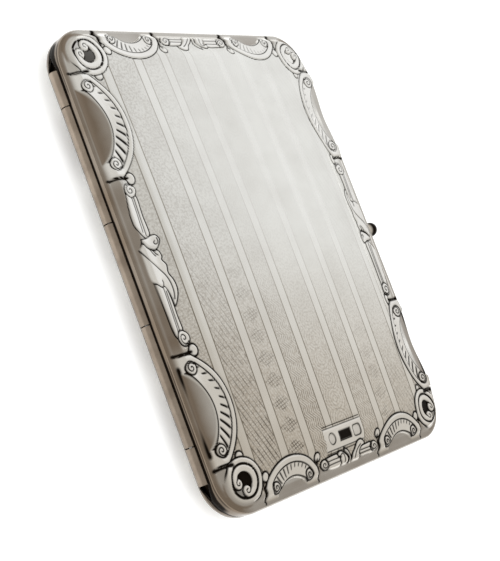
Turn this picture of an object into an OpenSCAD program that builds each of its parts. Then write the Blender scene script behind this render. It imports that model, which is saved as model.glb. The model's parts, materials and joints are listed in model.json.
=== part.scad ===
// Aide memoire case: two stamped silver covers on a five-knuckle hinge, with a push-button catch,
// and inside them a pocket, ivorine leaves on two rings and a pencil. It lies on its back cover:
// X runs from the hinge to the catch, Y from the foot to the head, Z out of the front cover.

/* [Case] */
// Width from the hinge wall to the catch wall
case_w = 66; // [60:1:80]
// Height from foot to head
case_h = 87; // [80:1:110]
// Radius of the corners seen from the front
corner_r = 7; // [5.5:0.5:9]
// Radius that rounds each wall into its border
edge_r = 1.8; // [1.6:0.1:1.9]
// Thickness of the silver sheet
sheet = 0.5; // [0.4:0.05:0.7]
// Depth of the front cover from the parting line to its border
cover_depth = 3.7; // [3.5:0.1:5]
// Depth of the back cover from the parting line to its border
back_depth = 2.4; // [2.3:0.1:3]
// Width of the level border round each panel
border_w = 3.5; // [3:0.1:4]
// Width of the shoulder between border and panel
shoulder_w = 4.5; // [3.5:0.1:6]
// Rise of the front panel's middle above the border
dome_rise = 2.1; // [1.8:0.1:2.6]
// Drop of the front panel from its middle to the side walls
dome_fall_x = 1.5; // [0:0.1:1.7]
// Drop of the front panel from its middle to the end walls
dome_fall_y = 1.2; // [0:0.1:1.5]
// Rise of the flat back panel beyond its border
back_rise = 2.3; // [2:0.1:2.6]

/* [Border ornament] */
// Radius of the corner roundels
roundel_r = 4; // [3.6:0.1:4.3]
// Distance of a roundel's centre from the two outer walls
roundel_inset = 5.5; // [5.3:0.1:6]
// Half thickness of the ornament's raised lines
bead_r = 0.5; // [0.4:0.05:0.6]
// Radius of the side scrolls
side_scroll_r = 10.8; // [10:0.1:11.5]
// Distance of the side scrolls from the middle of the case
side_scroll_y = 25.1; // [24.5:0.1:25.5]
// Radius of the end scrolls
end_scroll_r = 8; // [7.5:0.1:8.5]
// Distance of the end scrolls from the middle of the case
end_scroll_x = 16.1; // [15.8:0.1:16.4]
// Radius of the small volutes
volute_r = 1; // [0.8:0.05:1.2]
// Distance of scrolls and bars from the outer wall
motif_inset = 3.2; // [3:0.1:3.4]
// Half length of a side scroll
side_chord = 9.2; // [8.5:0.1:9.4]
// Half length of an end scroll
end_chord = 7.1; // [6.5:0.1:7.2]
// Half length of the reeded bars on the side borders
side_motif_half = 13; // [12:0.5:13.5]
// Half length of the reeded bars on the end borders
end_motif_half = 7.7; // [7:0.1:7.9]
// Tilt of the front cover's scrolls up the shoulder, in degrees
scroll_tilt = 9.5; // [7:0.5:11]

/* [Hinge] */
// Outer radius of the knuckles
barrel_r = 1.1; // [1:0.05:1.3]
// Radius of the hinge pin
pin_r = 0.4; // [0.35:0.05:0.5]
// Distance of the hinge axis inside the hinge wall
hinge_inset = 0.4; // [0.35:0.05:0.45]
// Length of the middle knuckle with its end gaps
middle_knuckle = 18; // [14:1:22]
// Length of each front knuckle with its end gaps
front_knuckle = 21; // [18:1:21]
// Length of each end knuckle with its end gap
end_knuckle = 6.5; // [4:0.5:6.5]
// Gap between neighbouring knuckles
knuckle_gap = 0.2; // [0.1:0.05:0.3]
// Radial clearance of the pin in the front knuckles
running_gap = 0.05; // [0.02:0.01:0.08]
// Radial clearance of the pin in the back knuckles
pin_seat_gap = 0.02; // [0.01:0.01:0.04]
// Clearance round the knuckles of the other cover
barrel_gap = 0.12; // [0.1:0.01:0.15]
// Width of the strip that thickens the hinge wall
bearer_w = 1; // [0.8:0.1:1.4]
// Height of that strip
bearer_h = 1.5; // [1.3:0.1:1.6]

/* [Catch] */
// Radius of the ball of the push button
ball_r = 1.5; // [1.2:0.1:1.7]
// Free space between ball and wall
ball_gap = 0.8; // [0.8:0.05:1]
// Radius of the button's stem
stem_r = 0.55; // [0.45:0.05:0.65]
// Radial clearance of the stem in the wall
stem_gap = 0.05; // [0.03:0.01:0.08]
// Height of the stem above the parting line
stem_z = 1.3; // [1.2:0.05:1.4]
// Length of the spring leaf along the wall
spring_l = 14; // [12:0.5:18]
// Thickness of the spring leaf
spring_t = 0.3; // [0.2:0.05:0.35]
// Height of the spring leaf
spring_h = 2; // [1.8:0.1:2.1]
// Distance of the spring leaf from the wall
spring_gap = 0.5; // [0.5:0.05:0.6]
// Length of the hook and of its keeper along the wall
hook_l = 4; // [3:0.5:6]
// Depth that the hook reaches below the parting line
hook_drop = 1.5; // [1.4:0.1:1.7]
// Travel of the button, left free behind the spring leaf
catch_travel = 0.7; // [0.5:0.05:0.75]
// Depth that the keeper stands out from the rim
keeper_depth = 0.6; // [0.4:0.05:0.7]
// Thickness of the keeper and of the hook's toe
keeper_t = 0.4; // [0.3:0.05:0.5]
// Gap between hook and keeper
toe_gap = 0.12; // [0.1:0.01:0.15]
// Thickness of the lugs' metal
lug_t = 0.3; // [0.2:0.05:0.35]
// Length of each lug's arm along the spring leaf
lug_w = 1.4; // [1:0.1:2]
// Gap between lugs and spring leaf
lug_gap = 0.1; // [0.06:0.01:0.12]
// Thickness of the riveted end
rivet_t = 0.3; // [0.2:0.05:0.35]

/* [Rim] */
// Thickness of the locating rim
rim_t = 0.4; // [0.3:0.05:0.4]
// Height that the rim stands above the parting line
rim_rise = 0.8; // [0.5:0.1:1]
// Height of the rim below the parting line
rim_drop = 0.9; // [0.7:0.05:0.95]
// Clearance between rim and walls
rim_gap = 0.08; // [0.06:0.01:0.1]

/* [Lining and pocket] */
// Thickness of the back lining board
back_lining_t = 0.6; // [0.4:0.05:0.7]
// Thickness of the front lining board
front_lining_t = 0.4; // [0.3:0.05:0.5]
// Clearance between a board and the cover round it
lining_gap = 0.3; // [0.2:0.05:0.4]
// Distance of the front board from the walls
front_board_inset = 4.4; // [4.2:0.1:6]
// Gap between silver and the face of the front board
lining_seat = 0.05; // [0.02:0.01:0.1]
// Width of the card pocket
pocket_w = 50; // [40:1:52]
// Height of the card pocket
pocket_h = 38; // [30:1:44]
// Thickness of the pocket's silk
pocket_t = 0.25; // [0.2:0.05:0.3]
// Height of the ribbon along the pocket's mouth
ribbon_h = 2.4; // [1.6:0.2:3]
// Distance of the pocket's foot from the foot of the lining
pocket_foot = 4; // [2:0.5:8]

/* [Leaves and rings] */
// Gap between the leaves and the pencil's clips
leaf_side_gap = 1.35; // [0.5:0.05:3]
// Distance of the leaves from the ends of the back lining
leaf_end_gap = 2.2; // [1:0.1:6]
// Thickness of an ivorine leaf
leaf_t = 0.35; // [0.3:0.05:0.4]
// Gap between leaves
leaf_gap = 0.1; // [0.06:0.01:0.12]
// Gap under the lowest leaf
leaf_floor_gap = 0.2; // [0.15:0.05:0.25]
// Radius of the leaves' corners
leaf_corner_r = 3; // [1:0.5:5]
// Radius of a binding ring at the middle of its wire
ring_r = 1.8; // [1.75:0.05:1.9]
// Radius of the ring's wire
wire_r = 0.25; // [0.2:0.02:0.28]
// Distance of the ring axis from the edge of the back lining
ring_margin = 2.3; // [2.2:0.1:3]
// Distance of each ring from the middle of the leaves
ring_y = 22; // [16:1:26]
// Radius of the ring holes in the leaves
ring_hole_r = 0.62; // [0.58:0.01:0.65]
// Distance from the ring axis to the edge of the leaves
leaf_edge = 0.3; // [0.2:0.05:0.35]
// Half width of a ring's saddle
saddle_half = 0.9; // [0.7:0.05:1]
// Height of a ring above the silver under it
ring_lift = 0.1; // [0.08:0.02:0.14]
// Height that a saddle stands above the lining
saddle_rise = 0.05; // [0.02:0.01:0.08]
// Clearance of the lining round a ring and its saddle
slot_gap = 0.15; // [0.1:0.05:0.25]

/* [Pencil] */
// Radius of the pencil's barrel
pencil_r = 1.4; // [1.2:0.05:1.45]
// Distance of the pencil's ends from the ends of the back lining
pencil_end_gap = 4.7; // [3:0.1:8]
// Length of the nose cone
nose_l = 6; // [4:0.5:8]
// Length of the cap
cap_l = 5; // [4:0.5:7]
// Radius of the lead
lead_r = 0.35; // [0.25:0.05:0.45]
// Length of lead that shows
lead_l = 2; // [1:0.25:3]
// Distance of the pencil's axis from the edge of the back lining
pencil_margin = 2.2; // [2.1:0.1:3]
// Thickness of the clips' metal
clip_t = 0.3; // [0.2:0.05:0.35]
// Length of each clip along the pencil
clip_l = 3; // [2:0.5:5]
// Distance of each clip from the middle of the pencil
clip_y = 14; // [8:1:18]
// Clearance between pencil and clips
clip_gap = 0.05; // [0.03:0.01:0.08]

/* [Hidden] */
$fn = 48;
silver = [0.86, 0.85, 0.83];
silk = [0.45, 0.18, 0.2];
ivory = [0.94, 0.9, 0.8];
half_w = case_w / 2;
half_h = case_h / 2;
parting = back_rise + back_depth;
border_z = parting + cover_depth;
panel_inset = border_w + shoulder_w;
corner_steps = 8;
side_steps = 6;
round_steps = 4;
over = 0.01;
hinge_x = -half_w + hinge_inset;
hinge_half = middle_knuckle / 2 + front_knuckle + end_knuckle;
hinge_relief = sqrt(pow(corner_r, 2) - pow(corner_r - hinge_inset, 2)) + 2 * barrel_gap;
stem_axis = parting + stem_z;
wall_in = half_w - sheet;
spring_x = wall_in - spring_gap - spring_t;
spring_low = parting + stem_z - spring_h / 2;
rivet_r = spring_h / 2 - spring_t - pin_seat_gap;
lug_low = stem_axis - spring_h / 4;
keeper_in = wall_in - rim_gap - rim_t - keeper_depth;
back_lining_z = sheet + back_lining_t;
board_w = case_w - 2 * panel_inset - 2 * lining_gap;
board_h = case_h - 2 * panel_inset - 2 * lining_gap;
board_r = 2;
front_board_z = border_z - sheet - lining_seat - front_lining_t;
pocket_z = front_board_z - lining_seat - pocket_t;
pocket_mouth = -half_h + edge_r + pocket_foot + pocket_h;
ring_x = board_w / 2 - ring_margin;
ring_z = sheet + ring_lift + ring_r + wire_r;
pencil_x = board_w / 2 - pencil_margin;
clip_in = pencil_r + clip_gap;
clip_out = clip_in + clip_t;
leaf_w = ring_x + pencil_x - leaf_edge - clip_out - leaf_side_gap;
leaf_h = board_h - 2 * leaf_end_gap;
barrel_l = board_h - 2 * pencil_end_gap - nose_l - lead_l - cap_l;
pencil_z = back_lining_z + clip_t + clip_gap + pencil_r;
pencil_foot = -(barrel_l + nose_l + lead_l + cap_l) / 2 + nose_l + lead_l;
leaf_hue = [for (i = [0:3]) ivory * (1 - 0.02 * i)];

// Share of the panel's rise that is reached at a distance inside the wall
function shoulder(inset) =
    let (t = min(max((inset - border_w) / shoulder_w, 0), 1))
    t * t * (3 - 2 * t);

// Points of a quarter turn round a corner centre
function corner_arc(cx, cy, r, start) =
    [for (i = [0:corner_steps]) let (a = start + 90 * i / corner_steps) [cx + r * cos(a), cy + r * sin(a)]];

// Points between two ends of a straight side
function between(p, q) = [for (i = [1:side_steps - 1]) p + (q - p) * i / side_steps];

// Rounded rectangle that lies inset inside the walls of the case
function outline(inset) =
    let (
        r = max(corner_r - inset, 1.2),
        x = half_w - inset - r,
        y = half_h - inset - r,
        a = corner_arc(x, y, r, 0),
        b = corner_arc(-x, y, r, 90),
        c = corner_arc(-x, -y, r, 180),
        d = corner_arc(x, -y, r, 270),
        n = corner_steps
    )
    concat(a, between(a[n], b[0]), b, between(b[n], c[0]), c, between(c[n], d[0]), d, between(d[n], a[0]));

// Height of the panel over the border at one point
function panel_rise(p, rise, fall_x, fall_y) =
    rise - fall_x * pow(p[0] / half_w, 2) - fall_y * pow(p[1] / half_h, 2);

// Profile of one face of a cover, as inset and height over the parting line, from panel to wall
function cover_profile(skin, depth) =
    concat(
        [for (f = [0.88, 0.66, 0.46, 0.3]) [panel_inset + f * (half_w - panel_inset), depth - skin]],
        [for (f = [1, 0.75, 0.5, 0.25, 0]) [border_w + f * shoulder_w, depth - skin]],
        [for (i = [round_steps:-1:0])
            let (a = 90 * i / round_steps, r = edge_r - skin)
            [edge_r - r * cos(a), depth - edge_r + r * sin(a)]],
        [[skin, 0]]
    );

// Drawn sheet cover, open at the parting line, with its panel up
module cover_shell(depth, rise, fall_x, fall_y) {
    outside = cover_profile(0, depth);
    inside = cover_profile(sheet, depth);
    rows = concat(outside, [for (i = [len(inside) - 1:-1:0]) inside[i]]);
    rings = [for (row = rows) [for (p = outline(row[0]))
        [p[0], p[1], row[1] + shoulder(row[0]) * panel_rise(p, rise, fall_x, fall_y)]]];
    n = len(rings[0]);
    m = len(rings);
    top = [0, 0, depth + rise];
    points = concat([for (ring = rings) each ring], [top, top - [0, 0, sheet]]);
    faces = concat(
        [for (i = [0:n - 1]) [m * n, (i + 1) % n, i]],
        [for (j = [0:m - 2]) for (i = [0:n - 1]) each [
            [j * n + i, j * n + (i + 1) % n, (j + 1) * n + i],
            [j * n + (i + 1) % n, (j + 1) * n + (i + 1) % n, (j + 1) * n + i]]],
        [for (i = [0:n - 1]) [m * n + 1, (m - 1) * n + i, (m - 1) * n + (i + 1) % n]]
    );
    polyhedron(points, faces);
}

// Raised ring of round section
module bead_ring(r, section, sweep = 360) {
    rotate_extrude(angle = sweep)
        translate([r, 0])
        circle(section);
}

// Corner roundel: an outer ring, an open scroll inside it and the scroll's two ends
module roundel(toward) {
    scroll_r = roundel_r * 0.45;
    bead_ring(roundel_r - bead_r, bead_r);
    rotate([0, 0, toward + 45])
        bead_ring(scroll_r, bead_r, 270);
    for (side = [-1, 1])
        rotate([0, 0, toward + side * 45])
            translate([scroll_r, 0, 0])
            sphere(bead_r * 1.3);
}

// C-scroll whose arc bulges along +X from a chord at the origin, with a volute at each end
module c_scroll(r, half_chord) {
    depth = sqrt(r * r - half_chord * half_chord);
    half_angle = asin(half_chord / r);
    inner_line = 3;
    lift = inner_line * bead_r * cos(half_angle) * sin(scroll_tilt);
    translate([0, 0, lift])
        rotate([0, -scroll_tilt, 0])
        for (line = [0, inner_line])
            translate([-depth, 0, 0])
                rotate([0, 0, -half_angle])
                bead_ring(r - line * bead_r, bead_r, 2 * half_angle);
    for (side = [-1, 1])
        translate([-volute_r, side * (half_chord - 2 * volute_r), 0])
            bead_ring(volute_r - bead_r / 2, bead_r / 1.5);
}

// Reeded bars between two volutes, lying along Y
module reeded_motif(half_l) {
    for (bar = [-1, 0, 1])
        translate([bar * 2 * bead_r, 0, 0])
            rotate([90, 0, 0])
            cylinder(r = bead_r * 0.9, h = 2 * half_l - 4 * volute_r, center = true);
    for (side = [-1, 1])
        translate([0, side * half_l, 0])
            bead_ring(volute_r, bead_r / 1.5);
}

// Roundels and reeded bars of the front border, with the border's level at z = 0
module border_ornament() {
    for (sx = [-1, 1])
        for (sy = [-1, 1])
            translate([sx * (half_w - roundel_inset), sy * (half_h - roundel_inset), 0])
                roundel(atan2(sy, sx));
    for (s = [-1, 1]) {
        translate([s * (half_w - motif_inset), 0, 0])
            reeded_motif(side_motif_half);
        translate([0, s * (half_h - motif_inset), 0])
            rotate([0, 0, 90])
            reeded_motif(end_motif_half);
    }
}

// The eight scrolls that climb the shoulder of the front cover
module shoulder_scrolls() {
    for (sx = [-1, 1])
        for (sy = [-1, 1]) {
            translate([sx * (half_w - motif_inset), sy * side_scroll_y, 0])
                rotate([0, 0, sx > 0 ? 180 : 0])
                c_scroll(side_scroll_r, side_chord);
            translate([sx * end_scroll_x, sy * (half_h - motif_inset), 0])
                rotate([0, 0, -90 * sy])
                c_scroll(end_scroll_r, end_chord);
        }
}

// Places its children along the hinge axis, pointing along Y
module on_hinge(y) {
    translate([hinge_x, y, parting])
        rotate([-90, 0, 0])
        children();
}

// Room for the barrel in a cover: tight at the cover's own knuckles, free at the others
module barrel_room(own_front) {
    free_r = barrel_r + barrel_gap;
    on_hinge(-middle_knuckle / 2)
        cylinder(r = own_front ? free_r : barrel_r, h = middle_knuckle);
    for (side = [0, 1])
        mirror([0, side, 0]) {
            on_hinge(middle_knuckle / 2)
                cylinder(r = own_front ? barrel_r : free_r, h = front_knuckle);
            on_hinge(middle_knuckle / 2 + front_knuckle)
                cylinder(r = own_front ? free_r : barrel_r, h = end_knuckle);
            on_hinge(hinge_half - over)
                cylinder(r1 = free_r, r2 = barrel_gap, h = hinge_relief);
        }
}

// Strip along the hinge wall that the knuckles are soldered to, above the parting line
module hinge_bearer() {
    translate([-half_w + sheet - over, -hinge_half, 0])
        cube([bearer_w + over, 2 * hinge_half, bearer_h]);
}

module back_cover() {
    color(silver)
        difference() {
            translate([0, 0, parting])
                mirror([0, 0, 1]) {
                    cover_shell(back_depth, back_rise, 0, 0);
                    hinge_bearer();
                }
            barrel_room(false);
        }
}

module front_cover() {
    color(silver)
        difference() {
            translate([0, 0, parting]) {
                cover_shell(cover_depth, dome_rise, dome_fall_x, dome_fall_y);
                hinge_bearer();
                translate([0, 0, cover_depth]) {
                    border_ornament();
                    shoulder_scrolls();
                }
            }
            barrel_room(true);
            translate([wall_in - over, 0, stem_axis])
                rotate([0, 90, 0])
                cylinder(r = stem_r + stem_gap, h = sheet + 2 * over);
        }
}

// One knuckle between two places on the hinge axis
module knuckle(from, length, bore_r) {
    on_hinge(from + knuckle_gap / 2)
        difference() {
            cylinder(r = barrel_r, h = length - knuckle_gap);
            translate([0, 0, -over])
                cylinder(r = bore_r, h = length + 2 * over);
        }
}

module back_knuckles() {
    color(silver) {
        knuckle(-middle_knuckle / 2, middle_knuckle, pin_r + pin_seat_gap);
        for (side = [0, 1])
            mirror([0, side, 0])
                knuckle(middle_knuckle / 2 + front_knuckle, end_knuckle, pin_r + pin_seat_gap);
    }
}

module front_knuckles() {
    color(silver)
        for (side = [0, 1])
            mirror([0, side, 0])
                knuckle(middle_knuckle / 2, front_knuckle, pin_r + running_gap);
}

module hinge_pin() {
    color("gray")
        on_hinge(-hinge_half + knuckle_gap)
        cylinder(r = pin_r, h = 2 * (hinge_half - knuckle_gap));
}

// Rounded rectangle drawn from plain squares and circles
module rounded_plate(w, h, r) {
    square([w - 2 * r, h], center = true);
    square([w, h - 2 * r], center = true);
    for (sx = [-1, 1])
        for (sy = [-1, 1])
            translate([sx * (w / 2 - r), sy * (h / 2 - r)])
                circle(r);
}

// Rim inside three walls of the back cover, lowered at the catch
module back_rim() {
    outer_inset = sheet + rim_gap;
    inner_inset = outer_inset + rim_t;
    catch_half = spring_l / 2 + lug_w;
    color(silver)
        difference() {
            translate([0, 0, parting - rim_drop])
                linear_extrude(rim_drop + rim_rise)
                difference() {
                    rounded_plate(case_w - 2 * outer_inset, case_h - 2 * outer_inset, corner_r - outer_inset);
                    rounded_plate(case_w - 2 * inner_inset, case_h - 2 * inner_inset, corner_r - inner_inset);
                    translate([-half_w - corner_r, -half_h])
                        square([2 * corner_r + 1, case_h]);
                }
            translate([half_w - corner_r, -catch_half, parting - rim_gap])
                cube([corner_r, 2 * catch_half, rim_rise + 1]);
        }
}

module push_button() {
    ball_x = half_w + ball_gap + ball_r;
    stem_end = spring_x - rivet_t;
    color(silver)
        translate([0, 0, stem_axis])
        rotate([0, 90, 0]) {
            translate([0, 0, ball_x])
                sphere(ball_r);
            translate([0, 0, stem_end])
                cylinder(r = stem_r, h = ball_x - stem_end);
            translate([0, 0, stem_end])
                cylinder(r = rivet_r, h = rivet_t);
        }
}

// Spring leaf along the catch wall, with the hook that reaches below the parting line
module catch_spring() {
    hook_x = keeper_in - toe_gap - 2 * spring_t;
    hook_low = parting - hook_drop;
    color("lightsteelblue")
        difference() {
            union() {
                translate([spring_x, -spring_l / 2, spring_low])
                    cube([spring_t, spring_l, spring_h]);
                translate([hook_x, -hook_l / 2, spring_low])
                    cube([spring_x - hook_x + spring_t, hook_l, spring_t]);
                translate([hook_x, -hook_l / 2, hook_low])
                    cube([spring_t, hook_l, spring_low - hook_low + over]);
                translate([hook_x, -hook_l / 2, hook_low])
                    cube([2 * spring_t, hook_l, keeper_t]);
            }
            translate([spring_x - over, 0, stem_axis])
                rotate([0, 90, 0])
                cylinder(r = stem_r + pin_seat_gap, h = spring_t + 2 * over);
        }
}

// Staples on the catch wall that the ends of the spring leaf run in
module spring_lugs() {
    arm_x = spring_x - catch_travel - lug_gap - lug_t;
    lug_h = parting + cover_depth - edge_r - lug_low;
    color(silver)
        for (side = [0, 1])
            mirror([0, side, 0])
                translate([arm_x, spring_l / 2 + lug_gap, lug_low]) {
                    cube([wall_in - arm_x, lug_t, lug_h]);
                    translate([0, lug_t - lug_w, 0])
                        cube([lug_t, lug_w, lug_h]);
                }
}

module catch_keeper() {
    keeper_top = parting - hook_drop + 2 * keeper_t + toe_gap;
    color(silver)
        translate([keeper_in, -hook_l / 2, keeper_top - keeper_t])
        cube([wall_in - rim_gap - rim_t - keeper_in, hook_l, keeper_t]);
}

module back_lining() {
    chord = sqrt(pow(ring_r + wire_r, 2) - pow(ring_z - back_lining_z, 2));
    slot_w = 2 * (max(chord, saddle_half) + slot_gap);
    slot_l = 2 * (saddle_half + slot_gap);
    color(silk)
        translate([0, 0, sheet])
        linear_extrude(back_lining_t)
        difference() {
            rounded_plate(board_w, board_h, board_r);
            for (side = [-1, 1])
                translate([-ring_x, side * ring_y])
                    square([slot_w, slot_l], center = true);
        }
}

module front_lining() {
    color(silk)
        translate([0, 0, front_board_z])
        linear_extrude(front_lining_t)
        rounded_plate(case_w - 2 * front_board_inset, case_h - 2 * front_board_inset, board_r);
}

module card_pocket() {
    color(silk)
        translate([0, pocket_mouth - pocket_h / 2, pocket_z])
        linear_extrude(pocket_t)
        rounded_plate(pocket_w, pocket_h, board_r);
}

module pocket_ribbon() {
    color("goldenrod")
        translate([-pocket_w / 2, pocket_mouth + lining_seat, pocket_z])
        cube([pocket_w, ribbon_h, pocket_t]);
}

// One ivorine leaf, counted from the back, with its two ring holes
module leaf(i) {
    low = back_lining_z + leaf_floor_gap + i * (leaf_t + leaf_gap);
    dz = low + leaf_t / 2 - ring_z;
    hole_x = -ring_x + sqrt(ring_r * ring_r - dz * dz);
    color(leaf_hue[i])
        difference() {
            translate([-ring_x + leaf_edge + leaf_w / 2, 0, low])
                linear_extrude(leaf_t)
                rounded_plate(leaf_w, leaf_h, leaf_corner_r);
            for (side = [-1, 1])
                translate([hole_x, side * ring_y, low - over])
                    cylinder(r = ring_hole_r, h = leaf_t + 2 * over);
        }
}

module leaf_1() { leaf(0); }
module leaf_2() { leaf(1); }
module leaf_3() { leaf(2); }
module leaf_4() { leaf(3); }

// A closed wire ring round the axis that the leaves turn on
module wire_ring(r) {
    translate([-ring_x, 0, ring_z])
        rotate([90, 0, 0])
        bead_ring(ring_r, r);
}

module leaf_rings() {
    color(silver)
        for (side = [-1, 1])
            translate([0, side * ring_y, 0])
                wire_ring(wire_r);
}

module ring_saddles() {
    saddle_top = back_lining_z + saddle_rise;
    color(silver)
        for (side = [-1, 1])
            translate([0, side * ring_y, 0])
                difference() {
                    translate([-ring_x - saddle_half, -saddle_half, sheet])
                        cube([2 * saddle_half, 2 * saddle_half, saddle_top - sheet]);
                    wire_ring(wire_r + pin_seat_gap);
                }
}

// Places its children on the pencil's axis, pointing to the head
module on_pencil(y) {
    translate([pencil_x, y, pencil_z])
        rotate([-90, 0, 0])
        children();
}

module pencil_barrel() {
    color(silver)
        on_pencil(pencil_foot)
        cylinder(r = pencil_r, h = barrel_l);
}

module pencil_cap() {
    finial_r = pencil_r * 0.6;
    color("goldenrod")
        on_pencil(pencil_foot + barrel_l) {
            cylinder(r = pencil_r, h = cap_l - 2 * finial_r);
            translate([0, 0, cap_l - 1.6 * finial_r])
                sphere(finial_r);
        }
}

module pencil_nose() {
    color("goldenrod")
        on_pencil(pencil_foot - nose_l)
        difference() {
            cylinder(r1 = lead_r * 2, r2 = pencil_r, h = nose_l);
            translate([0, 0, -over])
                cylinder(r = lead_r + pin_seat_gap, h = nose_l);
        }
}

module pencil_lead() {
    color("dimgray")
        on_pencil(pencil_foot - nose_l - lead_l)
        cylinder(r = lead_r, h = lead_l + nose_l - 2 * over);
}

// Spring clips on the back lining, open at the top
module pencil_clips() {
    mouth = clip_in * 1.5;
    color(silver)
        for (side = [-1, 1])
            on_pencil(side * clip_y - clip_l / 2)
                difference() {
                    union() {
                        cylinder(r = clip_out, h = clip_l);
                        translate([-clip_in, clip_out - clip_t, 0])
                            cube([2 * clip_in, clip_t, clip_l]);
                    }
                    translate([0, 0, -over])
                        cylinder(r = clip_in, h = clip_l + 2 * over);
                    translate([-mouth / 2, -2 * clip_out, -over])
                        cube([mouth, 2 * clip_out, clip_l + 2 * over]);
                }
}

back_cover();
front_cover();
back_knuckles();
front_knuckles();
hinge_pin();
back_rim();
push_button();
catch_spring();
spring_lugs();
catch_keeper();
back_lining();
front_lining();
card_pocket();
pocket_ribbon();
leaf_1();
leaf_2();
leaf_3();
leaf_4();
leaf_rings();
ring_saddles();
pencil_barrel();
pencil_cap();
pencil_nose();
pencil_lead();
pencil_clips();
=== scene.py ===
import json
import math

import bpy
import numpy as np
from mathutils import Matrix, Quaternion, Vector


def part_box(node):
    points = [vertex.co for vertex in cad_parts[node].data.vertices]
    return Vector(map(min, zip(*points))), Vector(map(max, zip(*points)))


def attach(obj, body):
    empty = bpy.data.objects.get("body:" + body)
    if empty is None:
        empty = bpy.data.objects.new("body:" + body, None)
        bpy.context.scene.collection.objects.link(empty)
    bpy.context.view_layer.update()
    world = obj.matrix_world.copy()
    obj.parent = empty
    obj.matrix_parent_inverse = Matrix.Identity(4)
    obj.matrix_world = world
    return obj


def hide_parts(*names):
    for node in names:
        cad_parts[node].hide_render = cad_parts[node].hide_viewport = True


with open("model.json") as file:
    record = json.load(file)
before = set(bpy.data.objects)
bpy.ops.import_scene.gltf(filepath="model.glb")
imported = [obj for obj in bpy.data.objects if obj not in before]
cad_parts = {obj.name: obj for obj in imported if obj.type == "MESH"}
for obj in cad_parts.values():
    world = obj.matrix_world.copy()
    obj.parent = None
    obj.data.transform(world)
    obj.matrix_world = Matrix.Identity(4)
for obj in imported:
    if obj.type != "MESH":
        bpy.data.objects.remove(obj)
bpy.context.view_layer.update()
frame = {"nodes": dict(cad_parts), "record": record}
mm = 0.001  # shapes below are worked out in millimetres, the scene is in metres
print("frame loaded:", len(frame["nodes"]), "nodes")


def boxOf(node):  # lowest and highest corner of a CAD node, in millimetres
    low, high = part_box(node)
    return np.array(low) / mm, np.array(high) / mm


def smooth(a, b, x):  # 0 at a, 1 at b, with level ends
    t = np.clip((x - a) / (b - a), 0, 1)
    return t * t * (3 - 2 * t)


def dome(x):  # half circle of height 1 over -1 to 1
    return np.sqrt(np.clip(1 - x * x, 0, 1))


def bell(x):  # smooth line of height 1 at 0, about 1 wide
    return np.exp(-x * x)


# camera

cameraView = {
    "eye": (-165.6, -33.7, 142.8),  # millimetres, from a fit to the corner roundels and the outline
    "aim": (-12.6, -11.7, 9.03),
    "roll": 64.05,  # degrees, the case leans back in the photograph
    "focalPixels": 1180.0,
    "frameRows": 561,  # pixel rows of the picture
    "axisRow": 313.8,  # pixel row that the optical axis meets
}


def makeCamera():
    eye = Vector(cameraView["eye"]) * mm
    aim = Vector(cameraView["aim"]) * mm
    rows = cameraView["frameRows"]
    data = bpy.data.cameras.new("camera")
    data.sensor_width = 36.0
    # the taller side of the picture takes the sensor's width
    data.lens = cameraView["focalPixels"] * data.sensor_width / rows
    data.shift_y = (cameraView["axisRow"] - rows / 2) / rows
    data.clip_start = 0.01
    camera = bpy.data.objects.new("camera", data)
    turn = (aim - eye).to_track_quat("-Z", "Y") @ Quaternion((0, 0, 1), math.radians(cameraView["roll"]))
    camera.rotation_mode = "QUATERNION"
    camera.rotation_quaternion = turn
    camera.location = eye
    bpy.context.collection.objects.link(camera)
    bpy.context.scene.camera = camera


makeCamera()
print("camera placed")


# meshes

def makePiece(name, points, quads, tris, body, stands=(), values=None):
    # points in millimetres, faces as rows of point numbers, values as one number a point for each attribute
    faces = np.concatenate([np.asarray(quads, int).ravel(), np.asarray(tris, int).ravel()])
    sizes = np.concatenate([np.full(len(quads), 4), np.full(len(tris), 3)])
    mesh = bpy.data.meshes.new(name)
    mesh.vertices.add(len(points))
    mesh.vertices.foreach_set("co", (np.asarray(points) * mm).astype(np.float32).ravel())
    mesh.loops.add(len(faces))
    mesh.loops.foreach_set("vertex_index", faces.astype(np.int32))
    mesh.polygons.add(len(sizes))
    mesh.polygons.foreach_set("loop_start", (np.cumsum(sizes) - sizes).astype(np.int32))
    mesh.polygons.foreach_set("use_smooth", np.ones(len(sizes), bool))
    mesh.update(calc_edges=True)
    mesh.validate()
    for key, numbers in (values or {}).items():
        mesh.attributes.new(key, "FLOAT", "POINT").data.foreach_set("value", numbers.astype(np.float32))
    piece = bpy.data.objects.new(name, mesh)
    bpy.context.collection.objects.link(piece)
    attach(piece, body)
    if stands:
        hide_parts(*stands)
    return piece


def outlineGrid(halfW, halfH, corner, ease, inset, counts):
    # rounded rectangle drawn inset from its walls: sides and quarter turns by turns, anticlockwise from the
    # right; the corner's radius falls with the inset as fast as ease says
    inset = np.asarray(inset, float)[:, None]
    w, h = halfW - inset, halfH - inset
    r = np.minimum(np.maximum(corner - ease * inset, 1.2), 0.9 * w)
    turn = np.arange(counts[2]) / counts[2] * math.pi / 2
    xs, ys = [], []
    for k in range(4):
        a = k * math.pi / 2
        n, t = (math.cos(a), math.sin(a)), (-math.sin(a), math.cos(a))
        away, run = (w, h - r) if k % 2 == 0 else (h, w - r)
        count = counts[k % 2]
        along = (2 * np.arange(count) / count - 1) * run
        xs += [n[0] * away + t[0] * along, n[0] * (away - r) + t[0] * run + r * np.cos(turn + a)]
        ys += [n[1] * away + t[1] * along, n[1] * (away - r) + t[1] * run + r * np.sin(turn + a)]
    return np.concatenate(xs, 1), np.concatenate(ys, 1)


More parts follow.
